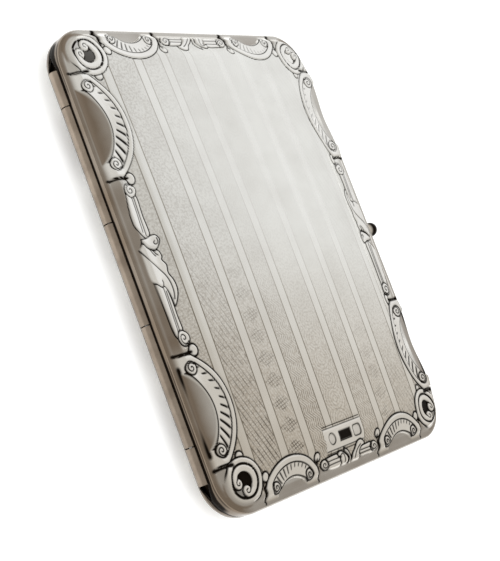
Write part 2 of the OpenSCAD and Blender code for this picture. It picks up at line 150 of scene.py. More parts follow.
def ringFaces(starts, sizes, poleFirst=None, poleLast=None):
    # faces between rings that follow one another; a ring may have four times as many points as its neighbour
    quads, tris = [], []
    for a, b, n, m in zip(starts, starts[1:], sizes, sizes[1:]):
        i = np.arange(min(n, m))
        j = (i + 1) % len(i)
        if n == m:
            quads.append(np.stack([a + i, a + j, b + j, b + i], 1))
        elif n < m:
            f = [b + (4 * i + k) % m for k in range(5)]
            tris += [np.stack(t, 1) for t in (
                (a + i, f[1], f[0]), (a + i, f[2], f[1]), (a + i, a + j, f[2]), (a + j, f[3], f[2]),
                (a + j, f[4], f[3]))]
        else:
            f = [a + (4 * i + k) % n for k in range(5)]
            tris += [np.stack(t, 1) for t in (
                (f[0], f[1], b + i), (f[1], f[2], b + i), (f[2], b + j, b + i), (f[2], f[3], b + j),
                (f[3], f[4], b + j))]
    for pole, start, n, flip in ((poleFirst, starts[0], sizes[0], 1), (poleLast, starts[-1], sizes[-1], 0)):
        if pole is not None:
            i = start + np.arange(n)
            j = start + (np.arange(n) + 1) % n
            tris.append(np.stack([np.full(n, pole), j, i] if flip else [i, j, np.full(n, pole)], 1))
    return (np.concatenate(quads) if quads else np.zeros((0, 4), int),
            np.concatenate(tris) if tris else np.zeros((0, 3), int))


def turned(name, radius, along, origin, axis, body, stands=(), lobes=0, lobeDepth=0.0, count=64,
           paintedShade=None):
    # profile (radius, along) turned round an axis; lobes cut that many flutes where lobeDepth is set
    angle = np.arange(count) / count * 2 * math.pi
    radius, along = np.asarray(radius, float)[:, None], np.asarray(along, float)[:, None]
    depth = np.broadcast_to(np.asarray(lobeDepth, float), radius[:, 0].shape)[:, None]
    r = radius - depth * (0.5 - 0.5 * np.cos(lobes * angle))
    u, v = (1, 2) if axis == 0 else (2, 0)
    grid = np.zeros(r.shape + (3,))
    grid[..., axis] = along
    grid[..., u] = r * np.cos(angle)
    grid[..., v] = r * np.sin(angle)
    grid += np.asarray(origin, float)
    ends = np.zeros((2, 3)) + np.asarray(origin, float)
    ends[:, axis] += along[[0, -1], 0]
    rows = len(radius)
    points = np.concatenate([grid.reshape(-1, 3), ends])
    starts = [k * count for k in range(rows)]
    quads, tris = ringFaces(starts, [count] * rows, rows * count, rows * count + 1)
    paintedShade = np.zeros(rows) if paintedShade is None else paintedShade
    return makePiece(name, points, quads, tris, body, stands,
                     {"oxideAndShade": np.concatenate([np.repeat(paintedShade, count), paintedShade[[0, -1]]])})


# covers

coverLow, coverHigh = boxOf("front_cover")
barrelLow, barrelHigh = boxOf("back_knuckles")
farOff = 99.0  # a distance at which nothing is cut
caseForm = {
    "halfW": coverHigh[0],
    "halfH": coverHigh[1],
    "parting": coverLow[2],
    "corner": 7.0,
    "cornerEase": 0.55,  # how fast the corners tighten towards the panel
    "sheet": 0.5,
    "sideShoulder": (3.5, 8.0),  # where it begins and ends, from the wall
    "endShoulder": (2.5, 6.5),
    # each cover: depth to its border, rounding at the top of the wall, fall of the border from the ornament
    # to that rounding, and the panel's rise in the middle with its fall to the sides and to the ends
    "front": {"depth": 3.7, "crease": 0.8, "drop": 0.95, "panel": (2.1, 1.5, 1.2)},
    "back": {"depth": 2.4, "crease": 1.8, "drop": 0.0, "panel": (2.3, 0.0, 0.0)},
    "edgeTo": 2.4,  # inset where the border begins to fall to the wall
    "slopeTo": 5.0,  # and where a half-moon does
    "finestTo": 6.0,  # inset that the closest rows reach
    "chasedTo": 9.6,  # inset that the fine grid reaches
    "fine": (340, 240, 44),  # points along a side, an end and a corner
    "coarse": (85, 60, 11),
    # rows up the wall, over its rounding, over the chasing, over the panel and over the inside
    "rows": {"wall": 5, "round": 6, "finest": 37, "chased": 19, "panel": 15, "inside": 10},
    "least": 0.05,  # least height of the wall where the barrel cuts it back
}
hingeForm = {
    "x": (barrelLow[0] + barrelHigh[0]) / 2,
    "half": barrelHigh[1] + 0.1,
    "splits": (9.0, 30.0),  # between knuckles
    "barrel": (barrelHigh[0] - barrelLow[0]) / 2,
    "gap": 0.12,
    "relief": 2.57,  # tapered end of the room for the barrel
    # painted shade of the gap on the rows of the wall beside the barrel, going up: along its middle, and near
    # its ends
    "gapShade": ((1.0, 1.0), (0.75, 1.0), (0.1, 0.3), (0.0, 0.7)),
}
borderWear = {
    "clean": (0, 70),  # rubbed clean towards the corner that the thumb opens: from and to, along x + y
    "groundLoss": 0.75,  # oxide lost there from sunk grounds and flutes
    "cleanLoss": 0.1,  # and from the border as a whole
    "head": (10, 35),  # paler towards the head
    "headLoss": 0.24,
    "foot": (20, -42),  # more black is left in the cuts towards the foot
    "pen": (0.9, 0.7),  # share of a cut's drawn width at the head, and what the foot adds
    "back": 0.6,  # the back's border is chased more shallowly
}
chasing = {  # heights of raised forms, and half widths and depths of cuts
    "rim": 0.16,
    "ground": -0.1,  # sunk ground of a roundel
    "scroll": 0.15,
    "bead": (0.04, 0.08),  # its edge, and the dome on it
    "leaf": (0.12, 0.02),  # the lowest form of a motif, and what each one over it adds
    "volute": 0.2,
    "ring": 0.12,
    "spiral": 0.13,
    "channel": (0.13, 0.06),  # its two edge lines, and how far it is sunk
    "flute": 0.08,
    "vein": 0.16,
    "shadow": (0.26, 0.16),  # half width and depth under a curl
    "notch": 0.3,
    "mark": (0.14, 0.14),  # outline and depth of a mark on the tablet
    "rule": 0.11,
}
ornament = {
    # corners: inset of the middle, radius, cut ring, sunk ground, the open scroll's middle radius, half width
    # and half opening in degrees, place and radius of its curled head, and the line cut along the curl
    "roundel": {
        "inset": 5.5, "r": 3.95, "ring": 2.92, "sunk": 2.75, "scroll": (2.1, 0.64, 40),
        "head": (1.25, 1.08, 1.0),
        "hook": ((-0.1, 1.42), (0.55, 1.5), (1.2, 1.55), (1.6, 1.2), (1.35, 0.8), (0.95, 0.95)),
    },
    # scrolls: radius, furthest reach from the wall, half length, the channel's middle radius and half width,
    # angle of its curled ends, flutes in a full turn and their slant, place along the wall, how black the
    # painted shade in the crease by the wall is, and how far the half-moon is browned by tarnish with painted
    # shade, by the wall and at the channel
    "sideScroll": {
        "r": 12.0, "apex": 8.3, "half": 9.4, "channel": (9.7, 1.27), "end": 47, "flutes": 40, "slant": 0.07,
        "centre": 25.1, "crease": 0.95, "tint": (1.0, 0.55),
    },
    "endScroll": {
        "r": 8.6, "apex": 6.7, "half": 7.0, "channel": (6.25, 1.1), "end": 46, "flutes": 44, "slant": 0.0,
        "centre": 16.4, "crease": 0.25, "tint": (0.56, 0.48),
    },
    "sideNotches": (34.9, 15.4),
    "endNotches": (23.6, 9.2),
    # place and half sizes
    "beads": (
        (26.9, 34.0, 0.8, 0.88), (28.3, 15.2, 0.8, 1.08), (22.8, 38.7, 0.8, 0.88), (9.2, 38.9, 0.8, 0.8),
    ),
    "plaque": (-0.7, -36.9, 5.6, 2.0),
    "plaqueRules": (-0.05, 0.4),  # lines along its edges, from the edge outwards
}
# middle of a long side, as points (from the wall, along the side)
sideMotif = {
    "fills": (
        ((2.35, 13.2), (1.66, 10.0), (1.53, 7.3), (2.07, 6.0), (3.4, 4.7), (4.5, 5.2), (4.46, 8.5),
         (4.46, 12.4)),
        ((1.35, -2.6), (1.5, -8.0), (1.85, -12.6), (4.0, -12.2), (4.1, -9.0), (4.15, -6.0), (3.6, -3.2)),
        ((0.95, 3.0), (0.95, 0.5), (1.0, -2.4), (1.9, -3.4), (2.85, -3.95), (3.45, -3.8), (4.0, -4.5),
         (4.25, -6.0), (4.4, -7.45), (5.4, -6.0), (5.8, -4.6), (5.7, -3.1), (5.25, -1.75), (5.45, -0.4),
         (4.95, 0.65), (5.2, 1.2), (4.8, 2.4), (3.0, 3.1), (2.0, 4.0)),
        ((1.9, 4.6), (3.4, 4.7), (4.6, 5.05), (5.45, 4.9), (5.8, 3.95), (5.1, 2.85), (4.3, 2.5),
         (3.0, 3.05), (2.0, 3.95)),
    ),
    "lines": (
        ((3.45, 12.0), (3.3, 9.0), (3.05, 5.7)),
        ((3.9, 12.0), (3.75, 9.0), (3.6, 5.1)),
        ((3.05, -4.1), (2.9, -8.0), (2.7, -11.8)),
        ((3.5, -4.7), (3.35, -8.0), (3.2, -11.8)),
        ((0.95, 2.9), (1.42, 1.8), (2.1, 0.8), (3.4, -0.45), (4.45, -1.9), (4.9, -3.3), (4.95, -4.9),
         (4.65, -6.3)),
        ((5.3, 4.4), (5.3, 3.7), (4.8, 3.35), (4.5, 3.7), (4.8, 4.0)),
        ((3.3, 2.5), (3.6, 1.9), (4.0, 1.4)),
        ((3.9, 2.3), (4.2, 1.8), (4.5, 1.5)),
        ((3.4, -3.7), (3.55, -3.2), (3.5, -2.8)),
    ),
    "shadows": (((1.9, 4.0), (2.9, 3.0), (4.3, 2.4)),),
    "volutes": ((3.6, 13.2, 1.25, 1), (3.5, -12.95, 1.35, -1)),  # place, radius, and the way it winds
}
# middle of a short end, the same way
endMotif = {
    "fills": (
        ((3.8, 6.9), (3.85, 3.5), (2.6, 2.7), (1.3, 2.9), (1.0, 4.2), (1.3, 6.8), (2.1, 8.0)),
        ((2.3, -2.8), (3.4, -3.8), (3.6, -5.1), (3.45, -7.1), (1.5, -8.0), (1.1, -7.2), (1.2, -5.3),
         (1.3, -3.0)),
        ((4.5, 1.4), (3.7, 0.2), (2.4, -0.3), (0.9, 0.1), (1.2, 0.8), (2.5, 0.5), (3.6, 1.2)),
        ((1.0, 0.0), (2.5, -0.8), (3.5, -1.8), (4.6, -2.7), (4.8, -3.7), (4.4, -4.5), (3.7, -4.9),
         (3.4, -3.8), (2.3, -2.9), (1.0, -2.6)),
        ((3.2, 3.3), (3.9, 3.3), (4.15, 2.5), (3.55, 1.3), (2.5, 0.6), (1.2, 0.9), (1.1, 2.7),
         (1.8, 2.8), (2.7, 2.75), (3.0, 2.5)),
    ),
    "lines": (
        ((2.95, 6.6), (3.0, 5.0), (2.95, 3.2)),
        ((2.1, 6.4), (2.15, 5.0), (2.15, 3.1)),
        ((2.65, -3.4), (2.65, -5.0), (2.6, -6.5)),
        ((1.95, -3.1), (1.95, -5.0), (1.9, -6.7)),
        ((1.6, -1.2), (2.6, -1.9), (3.4, -2.7), (3.9, -3.5)),
        ((3.3, 2.6), (3.55, 2.2), (3.2, 1.7), (2.4, 1.6), (1.5, 1.9)),
    ),
    "shadows": (((3.5, 1.1), (2.5, 0.4), (1.3, 0.7)),),
    "volutes": ((2.6, 7.5, 1.15, -1), (2.4, -7.5, 1.15, 1)),
}


def dropOf(x, y, inset, cover, to):
    # fall of the border towards the wall, from an inset; less on the catch side, apart from its half-moons
    # and corners
    moons = bell((np.abs(y) - ornament["sideScroll"]["centre"]) / 4.5)
    level = 0.55 * smooth(10, 30, x) * (1 - moons) * smooth(38, 33, np.abs(y))
    return cover["drop"] * (1 - level) * (1 - smooth(cover["crease"], to, inset))


def curve(points):
    # smooth line through the points: each stretch is a cubic whose ends follow the neighbours
    pts = np.asarray(points, float)
    pts = np.concatenate([2 * pts[:1] - pts[1:2], pts, 2 * pts[-1:] - pts[-2:-1]])
    t = np.linspace(0, 1, 7)[:-1, None]
    a, b, c, d = pts[:-3, None], pts[1:-2, None], pts[2:-1, None], pts[3:, None]
    square, cube = a - 2.5 * b + 2 * c - d / 2, 1.5 * (b - c) + (d - a) / 2
    cubic = b + t * (c - a) / 2 + t ** 2 * square + t ** 3 * cube
    return np.concatenate([cubic.reshape(-1, 2), pts[-2:-1]])


def coil(centre, r, hand):
    # spiral from the rim of a volute in to its eye
    t = np.linspace(0, 1, 22)
    angle = hand * (0.6 + 2.6 * math.pi * t)
    reach = r * (1 - 0.85 * t)
    return np.stack([centre[0] + reach * np.cos(angle), centre[1] + reach * np.sin(angle)], 1)


def distanceTo(line, p, v):
    # distance to a line of straight steps; points past a margin round it count as far off
    margin = 1.5
    near = np.ones(p.shape, bool)
    for k, places in enumerate((p, v)):
        near &= (places > line[:, k].min() - margin) & (places < line[:, k].max() + margin)
    a, b = p[near], v[near]
    best = np.full(a.shape, farOff)
    for (p0, v0), (p1, v1) in zip(line, line[1:]):
        dp, dv = p1 - p0, v1 - v0
        t = np.clip(((a - p0) * dp + (b - v0) * dv) / (dp * dp + dv * dv), 0, 1)
        best = np.minimum(best, (a - p0 - t * dp) ** 2 + (b - v0 - t * dv) ** 2)
    out = np.full(p.shape, farOff)
    out[near] = np.sqrt(best)
    return out


def insideOf(line, p, v):
    # counts how often a straight way out crosses the closed line
    odd = np.zeros(p.shape, bool)
    for (p0, v0), (p1, v1) in zip(line, np.roll(line, -1, 0)):
        crosses = (v0 > v) != (v1 > v)
        odd ^= crosses & (p < p0 + (v - v0) * (p1 - p0) / (v1 - v0 if v1 != v0 else 1.0))
    return odd


def setForm(relief, f, crown, shade=0.0, soft=0.3, cut=0.12, line=0.14, drawn=1.0):
    # lays a raised form over the ground: f is the distance outside its edge, crown the height inside it,
    # and a dark cut runs along the edge where it is drawn
    inside = smooth(0, soft, -f)
    edge = bell(f / (line * relief["pen"])) * drawn
    raised = (crown + relief["formGround"]) * inside
    relief["height"] = relief["height"] * (1 - inside) + raised - cut * edge
    relief["oxideAndShade"] = np.maximum(np.maximum(relief["oxideAndShade"] * (1 - inside), edge), shade * inside)
    relief["plain"] = np.maximum(relief["plain"], smooth(line, -line, f))
    relief["rubbed"] = np.maximum(relief["rubbed"], inside)


def cutLine(relief, distance, width, depth=0.1, dark=1.0):
    # cut with a round bottom along the places where the distance is 0
    cut = bell(distance / (width * (0.5 + 0.5 * relief["pen"]))) * dark
    relief["height"] -= depth * cut
    relief["oxideAndShade"] = np.maximum(relief["oxideAndShade"], cut)


def volute(relief, p, v, cp, cv, r, hand, height):
    # round boss with a spiral cut into it
    setForm(relief, np.hypot(p - cp, v - cv) - r, height, soft=0.22, drawn=smooth(0.9, 1.6, p))
    cutLine(relief, distanceTo(coil((cp, cv), 0.8 * r, hand), p, v), chasing["spiral"])


def drawMotif(relief, p, v, motif):
    # flat raised forms one over another, the lines cut into them, the deep shadow under a curl, and volutes
    p = p - 0.55 * smooth(4.0, 1.2, p)  # the border falls here, so the drawing draws in from the wall
    drawn = smooth(0.9, 1.6, p)
    lowest, step = chasing["leaf"]
    shadow, shadowDepth = chasing["shadow"]
    for k, points in enumerate(motif["fills"]):
        line = curve(points + points[:1])
        away = distanceTo(line, p, v)
        f = np.where(insideOf(line, p, v), -away, away)
        setForm(relief, f, lowest + step * k, drawn=drawn)
    for points in motif["lines"]:
        cutLine(relief, distanceTo(curve(points), p, v), chasing["vein"], dark=0.85)
    for points in motif["shadows"]:
        cutLine(relief, distanceTo(curve(points), p, v), shadow, shadowDepth)
    for cp, cv, r, hand in motif["volutes"]:
        volute(relief, p, v, cp, cv, r, hand, chasing["volute"])


def roundels(relief, ax, ay):
    # disc that rounds off to the corner, with a ring cut in it and an open scroll that turns in at its ends
    form = ornament["roundel"]
    dx = ax - (caseForm["halfW"] - form["inset"])
    dy = ay - (caseForm["halfH"] - form["inset"])
    rho, theta = np.hypot(dx, dy), np.arctan2(dy, dx) - math.pi / 4
    u, v = rho * np.cos(theta), np.abs(rho * np.sin(theta))  # u points to the corner
    toCorner = smooth(0.5, 3.0, u)
    setForm(relief, rho - form["r"], chasing["rim"], soft=0.3 + 0.9 * toCorner, drawn=1 - 0.9 * toCorner)
    cutLine(relief, rho - form["ring"], chasing["ring"])
    kidney = smooth(1.4, 0.6, u)  # blackest towards the middle of the case
    black = (0.55 + 0.45 * kidney) * relief["kept"]
    setForm(relief, rho - form["sunk"], chasing["ground"], black, soft=0.15, cut=0.0)
    mid, half, opening = form["scroll"]
    gap = math.radians(opening)
    toEnd = np.hypot(u - mid * math.cos(gap), v - mid * math.sin(gap))
    arc = np.where(np.arctan2(v, u) > gap, np.abs(rho - mid), toEnd)
    headU, headV, headR = form["head"]
    head = np.hypot(u - headU, v - headV) - headR
    setForm(relief, np.minimum(arc - half, head), chasing["scroll"], soft=0.22, line=0.12)
    cutLine(relief, distanceTo(curve(form["hook"]), u, v), 0.11 + 0.1 * smooth(1.0, 0.0, u))
    # painted shade in the groove between the rim and the corner, laid with the half-moon tint
    rim = bell((rho - form["r"] - 0.2) / 0.5)
    relief["moon"] = np.maximum(relief["moon"], 0.9 * rim * toCorner)


def crescent(relief, p, q, hand, form, tintAndShadeShare=1.0):
    # C-scroll: p runs in from the wall and q along it; a flat rim, a channel between two cut lines with
    # curled ends, flutes that grow longer one way, and a smooth half-moon that falls to the wall
    p0 = form["apex"] - form["r"]
    rho, phi = np.hypot(p - p0, q), np.arctan2(q, p - p0)
    mid, half = form["channel"]
    end = math.radians(form["end"])
    endP, endQ = p0 + mid * math.cos(end), mid * math.sin(end)
    f = np.maximum(np.maximum(rho - form["r"], np.abs(q) - form["half"]), 0.7 - p)
    setForm(relief, f, chasing["rim"], drawn=smooth(0.9, 1.8, p))
    moon = smooth(mid - half, mid - half - 0.4, rho) * smooth(0.0, 0.2, p)
    relief["height"] = relief["height"] * (1 - moon) + relief["moonGround"] * moon
    relief["rubbed"] *= 1 - moon
    # the half-moon's brown: tarnish with painted shade, strongest by the wall and fading towards the channel
    outer, inner = form["tint"]
    inner = inner + 0.2 * (hand > 0)
    tint = outer + (inner - outer) * smooth(0.8, p0 + mid - half, p)
    relief["moon"] = np.maximum(relief["moon"], tintAndShadeShare * moon * smooth(0.55, 0.85, relief["inset"]) * tint)
    # the channel and its flutes
    edgeLine, channelDepth = chasing["channel"]
    inArc = np.abs(phi) < end
    sunk = smooth(0.0, -0.3, np.abs(rho - mid) - half) * inArc
    relief["height"] -= channelDepth * sunk
    cutLine(relief, np.where(inArc, rho - mid - half, farOff), edgeLine)
    cutLine(relief, np.where(np.abs(phi) < 1.1 * end, rho - mid + half, farOff), edgeLine, dark=0.95)
    flute = 0.5 + 0.5 * np.cos(form["flutes"] * (hand * phi + form["slant"] * (rho - mid)))
    low = smooth(0.25, -0.35, hand * phi)
    reach = smooth(half, 0.7 * half, np.abs(rho - mid)) * inArc
    reach = reach * smooth(-half * low, 0.5 - half * low, rho - mid)
    stroke = flute ** (3 - 1.4 * low) * reach
    relief["height"] -= chasing["flute"] * stroke
    relief["oxideAndShade"] = np.maximum(relief["oxideAndShade"], 0.95 * stroke * (0.55 + 0.45 * relief["kept"]))
    volute(relief, p, np.abs(q), endP, endQ, 0.9 * half, 1, chasing["rim"])
    # painted shade along the crease between the half-moon and the wall, drawn black without a cut, blackest
    # on the scrolls nearer the foot or the hinge
    q = np.abs(q) / form["half"]
    crease = np.where(p < 2, relief["inset"] - 0.8, farOff)
    dark = np.where(hand < 0, 1.0, 0.2) * smooth(0.9, 0.78, q) * (0.35 + 0.65 * smooth(0.2, 0.7, q))
    cutLine(relief, crease, np.where(hand < 0, 0.36, 0.24), depth=0.0, dark=form["crease"] * dark)


def plaque(relief, x, y):
    # plain tablet with ruled lines above and below it and three blank sunk marks: round, oblong and squarish
    cx, cy, halfX, halfY = ornament["plaque"]
    dx, dy = x - cx, y - cy
    tablet = smooth(0.1, -0.1, np.maximum(np.abs(dx) - halfX, np.abs(dy) - halfY))
    for key in ("plain", "rubbed"):
        relief[key] = np.maximum(relief[key], tablet)
    for away in ornament["plaqueRules"]:
        rule = np.where(np.abs(dx) < halfX, np.abs(dy) - halfY - away, farOff)
        cutLine(relief, rule, chasing["rule"], dark=0.85)
    marks = (  # each with how black its ground is
        (np.hypot((dx + 3.6) / 0.9, dy) - 1, 0.3),
        (np.maximum(np.abs(dx - 0.2) - 1.7, np.abs(dy) - 0.85), 0.8),
        ((((dx - 3.8) / 1.1) ** 4 + dy ** 4) ** 0.25 - 1, 0.3),
    )
    outline, depth = chasing["mark"]
    for mark, shade in marks:
        sunk = smooth(0.1, -0.15, mark)
        relief["height"] -= depth * sunk
        relief["oxideAndShade"] = np.maximum(relief["oxideAndShade"], shade * sunk)
        cutLine(relief, mark, outline, depth=0.0, dark=0.85)


def borderRelief(x, y, inset, cover, marked):
    # height of the chasing over the smooth cover, with its oxide and painted shade, the places free of engine
    # turning, those that are rubbed, and the tint of the half-moons: tarnish with painted shade
    ax, ay = np.abs(x), np.abs(y)
    sideIn, endIn = caseForm["halfW"] - ax, caseForm["halfH"] - ay
    side, end = ornament["sideScroll"], ornament["endScroll"]
    pen, penFoot = borderWear["pen"]
    relief = {key: np.zeros_like(x) for key in ("oxideAndShade", "rubbed", "moon")}
    relief["ground"] = -dropOf(x, y, inset, cover, caseForm["edgeTo"])
    relief["moonGround"] = -dropOf(x, y, inset, cover, caseForm["slopeTo"])
    relief["height"] = relief["ground"].copy()
    relief["plain"] = smooth(3.0, 2.0, inset) + 0 * x
    relief["inset"] = inset + 0 * x
    relief["clean"] = smooth(*borderWear["clean"], x + y)
    relief["kept"] = 1 - borderWear["groundLoss"] * relief["clean"]
    relief["kept"] *= 1 - borderWear["headLoss"] * smooth(*borderWear["head"], y)
    relief["pen"] = pen + penFoot * smooth(*borderWear["foot"], y)
    # on the catch side the curled ends of the scrolls keep their height out to the wall
    curled = bell((np.abs(ay - side["centre"]) - 7.0) / 2.4) + 0.5 * smooth(35, 37, ay)
    relief["formGround"] = relief["ground"] * (1 - curled * smooth(15, 26, x) * smooth(-3, 1, endIn - sideIn))
    if marked:
        plaque(relief, x, y)
    bead, beadDome = chasing["bead"]
    for bx, by, rx, ry in ornament["beads"]:
        dist = np.hypot((ax - bx) / rx, (ay - by) / ry)
        setForm(relief, (dist - 1) * min(rx, ry), bead + beadDome * dome(dist), soft=0.2)
    crescent(relief, sideIn, ay - side["centre"], np.sign(y), side, np.where(x < 0, 1.0, 0.35))
    crescent(relief, endIn, ax - end["centre"], np.sign(x), end)
    # turned half round on the catch side, where its curl sits closer to the button
    drawMotif(relief, sideIn, np.where(x < 0, y, 2.0 * smooth(13, 5, ay) - y), sideMotif)
    drawMotif(relief, endIn, np.where(y > 0, x, -x), endMotif)
    roundels(relief, ax, ay)
    # notches between the scrolls, widest at the wall and, on the sides, at the panel too
    sideWidth = 0.2 + 0.12 * smooth(2.0, 0.5, sideIn) + 0.14 * bell((sideIn - 3.9) / 0.5)
    endWidth = 0.18 + 0.4 * smooth(4.6, 0.8, endIn) * (y > 0)
    for places, p, along, width in (
        (ornament["sideNotches"], sideIn, ay, sideWidth),
        (ornament["endNotches"], endIn, ax, endWidth),
    ):
        for place in places:
            dark = smooth(4.8, 4.2, p) * smooth(0.1, 0.5, p)
            cutLine(relief, along - place, width, chasing["notch"], dark)
    return relief


def tarnishAndPaintedShade(relief, x, y, inset):
    # tarnish from handling, with painted shade: the edge and the half-moons, more towards the foot and by the
    # hinge, and most on the hinge wall, where the walls' darker reflections are painted in
    edge = smooth(3.2, 2.0, inset) * (1 - 0.85 * relief["rubbed"] * smooth(0.6, 1.5, inset))
    foot = smooth(30, -35, y)
    hingeSide = smooth(10, -26, x) * smooth(0.5, 1.2, inset) * smooth(18, 13, np.abs(y))
    hingeWall = smooth(-26, -30, x) * smooth(1.0, 0.3, inset)
    tint = np.maximum((0.45 + 0.25 * foot + 0.3 * hingeSide) * edge, relief["moon"])
    return tint + (0.45 - 0.2 * foot) * hingeWall


def paintWallGapShade(oxideAndShade, x, y, up):
    # black on the rows of the wall along the parting line, and painted shade of the gap beside the barrel, in
    # lines near its ends
    oxideAndShade[:len(up)] *= up ** 2
    oxideAndShade[0] = np.maximum(oxideAndShade[0], 0.5 + 0.5 * smooth(-20, -28, x))
    ends = smooth(-12, -18, y) + smooth(29, 33, y)
    byHinge = smooth(-29.5, -32, x)
    for row, (least, most) in enumerate(hingeForm["gapShade"], 1):
        oxideAndShade[row] = np.maximum(oxideAndShade[row], (least + (most - least) * ends) * byHinge)


def barrelRoom(x, y, front):
    # height over the parting line that the wall is cut back to, round the barrel: own knuckles fit, others
    # run free
    ay = np.abs(y)
    inner, outer = hingeForm["splits"]
    frontZone = (ay > inner) & (ay < outer)
    free = hingeForm["barrel"] + hingeForm["gap"]
    r = np.where(frontZone == front, hingeForm["barrel"], free)
    past = np.clip((ay - hingeForm["half"]) / hingeForm["relief"], 0, 1)
    r = np.where(past > 0, free + (hingeForm["gap"] - free) * past, r)
    return np.sqrt(np.clip(r ** 2 - (x - hingeForm["x"]) ** 2, 0, None)) * (past < 1)


def makeCover(name, front, body, node):
    # one closed skin: from the middle of the inside out to the rim, over the wall and in to the middle of the
    # outside
    f = caseForm
    cover = f["front"] if front else f["back"]
    rise, fallX, fallY = cover["panel"]
    depth, crease, sheet, count = cover["depth"], cover["crease"], f["sheet"], f["rows"]

    def ground(x, y):  # border, shoulder and panel
        lift = smooth(*f["sideShoulder"], f["halfW"] - np.abs(x))
        lift = lift * smooth(*f["endShoulder"], f["halfH"] - np.abs(y))
        return depth + lift * (rise - fallX * (x / f["halfW"]) ** 2 - fallY * (y / f["halfH"]) ** 2)

    def rings(inset, counts):
        return outlineGrid(f["halfW"], f["halfH"], f["corner"], f["cornerEase"], inset, counts)

    # outside of the wall and the border
    turn = np.linspace(0, math.pi / 2, count["round"])[1:]
    finest = np.linspace(crease, f["finestTo"], count["finest"])[1:]
    chased = np.linspace(f["finestTo"], f["chasedTo"], count["chased"])[1:]
    inset = np.concatenate([np.zeros(count["wall"]), crease * (1 - np.cos(turn)), finest, chased])[:, None]
    x, y = rings(inset[:, 0], f["fine"])
    relief = borderRelief(x, y, inset, cover, front)
    relief["oxideAndShade"] *= 1 - borderWear["cleanLoss"] * relief["clean"]
    if not front:
        quiet = borderWear["back"] * smooth(1.5, 3.0, inset)
        relief["height"] = relief["height"] * quiet
        relief["oxideAndShade"] = relief["oxideAndShade"] * quiet
    z = np.minimum(ground(x, y) + relief["height"], depth + rise)
    wallTop = depth - crease - dropOf(x[0], y[0], 0, cover, f["edgeTo"])
    up = np.linspace(0, 1, count["wall"])[:, None]
    rounded = slice(count["wall"], count["wall"] + len(turn))
    low = barrelRoom(x[:rounded.stop], y[:rounded.stop], front)
    z[:count["wall"]] = low[0] + np.maximum(wallTop - low[0], f["least"]) * up
    overBarrel = low[rounded] + f["least"] + 0.01 * turn[:, None]
    z[rounded] = np.maximum(wallTop + crease * np.sin(turn)[:, None], overBarrel)
    paintWallGapShade(relief["oxideAndShade"], x[0], y[0], up)
    warm = tarnishAndPaintedShade(relief, x, y, inset)

    # the panel, the inside and the inside of the wall
    panel = np.linspace(f["chasedTo"], f["halfW"] - 1.0, count["panel"])[1:]
    px, py = rings(panel, f["coarse"])
    pz = ground(px, py)
    skin = np.concatenate([panel[::-2], np.linspace(f["chasedTo"], sheet + 0.3, count["inside"])])
    sx, sy = rings(skin, f["coarse"])
    sz = ground(sx, sy) - dropOf(sx, sy, skin[:, None], cover, f["slopeTo"]) - sheet
    wx, wy = rings(np.array([sheet, sheet]), f["coarse"])
    room = barrelRoom(wx[1], wy[1], front)
    inTop = depth - crease - dropOf(wx[1], wy[1], 0, cover, f["edgeTo"])
    wz = np.stack([np.maximum(room + f["least"], inTop), room])

    inner = [np.stack(g, -1) for g in ((sx, sy, sz), (wx, wy, wz))]
    outer = [np.stack(g, -1) for g in ((x, y, z), (px, py, pz))]
    rows = [row for grid in inner + outer for row in grid]
    sizes = [len(row) for row in rows]
    starts = np.cumsum([0] + sizes[:-1]).tolist()
    total = sum(sizes)
    middle = np.array([[0, 0, depth + rise - sheet], [0, 0, depth + rise]])
    points = np.concatenate(rows + [middle])
    quads, tris = ringFaces(starts, sizes, total, total + 1)
    if front:
        points[:, 2] += f["parting"]
    else:
        points[:, 2] = f["parting"] - points[:, 2]
        quads, tris = quads[:, ::-1], tris[:, ::-1]
    inCount = sx.size + wx.size
    joined = {}
    for key, border, inside in (
        ("oxideAndShade", relief["oxideAndShade"], 0.0), ("plain", relief["plain"], 1.0),
        ("warm", warm, 0.4), ("rubbed", relief["rubbed"], 0.0),
    ):
        parts = [np.full(inCount, inside), border.ravel(), np.zeros(px.size), [inside, 0]]
        joined[key] = np.concatenate(parts)
    print(name, "faces:", 2 * len(quads) + len(tris), "triangles")
    return makePiece(name, points, quads, tris, body, [node], joined)


stripForm = {
    "width": 1.0,
    "height": 1.5,
    "stop": 1.6,  # length past the barrel's ends
    "inside": 0.3,  # from the hinge line to the strip there
    "clear": 0.04,  # from the parting line
    "overlap": 0.05,  # into the wall
}


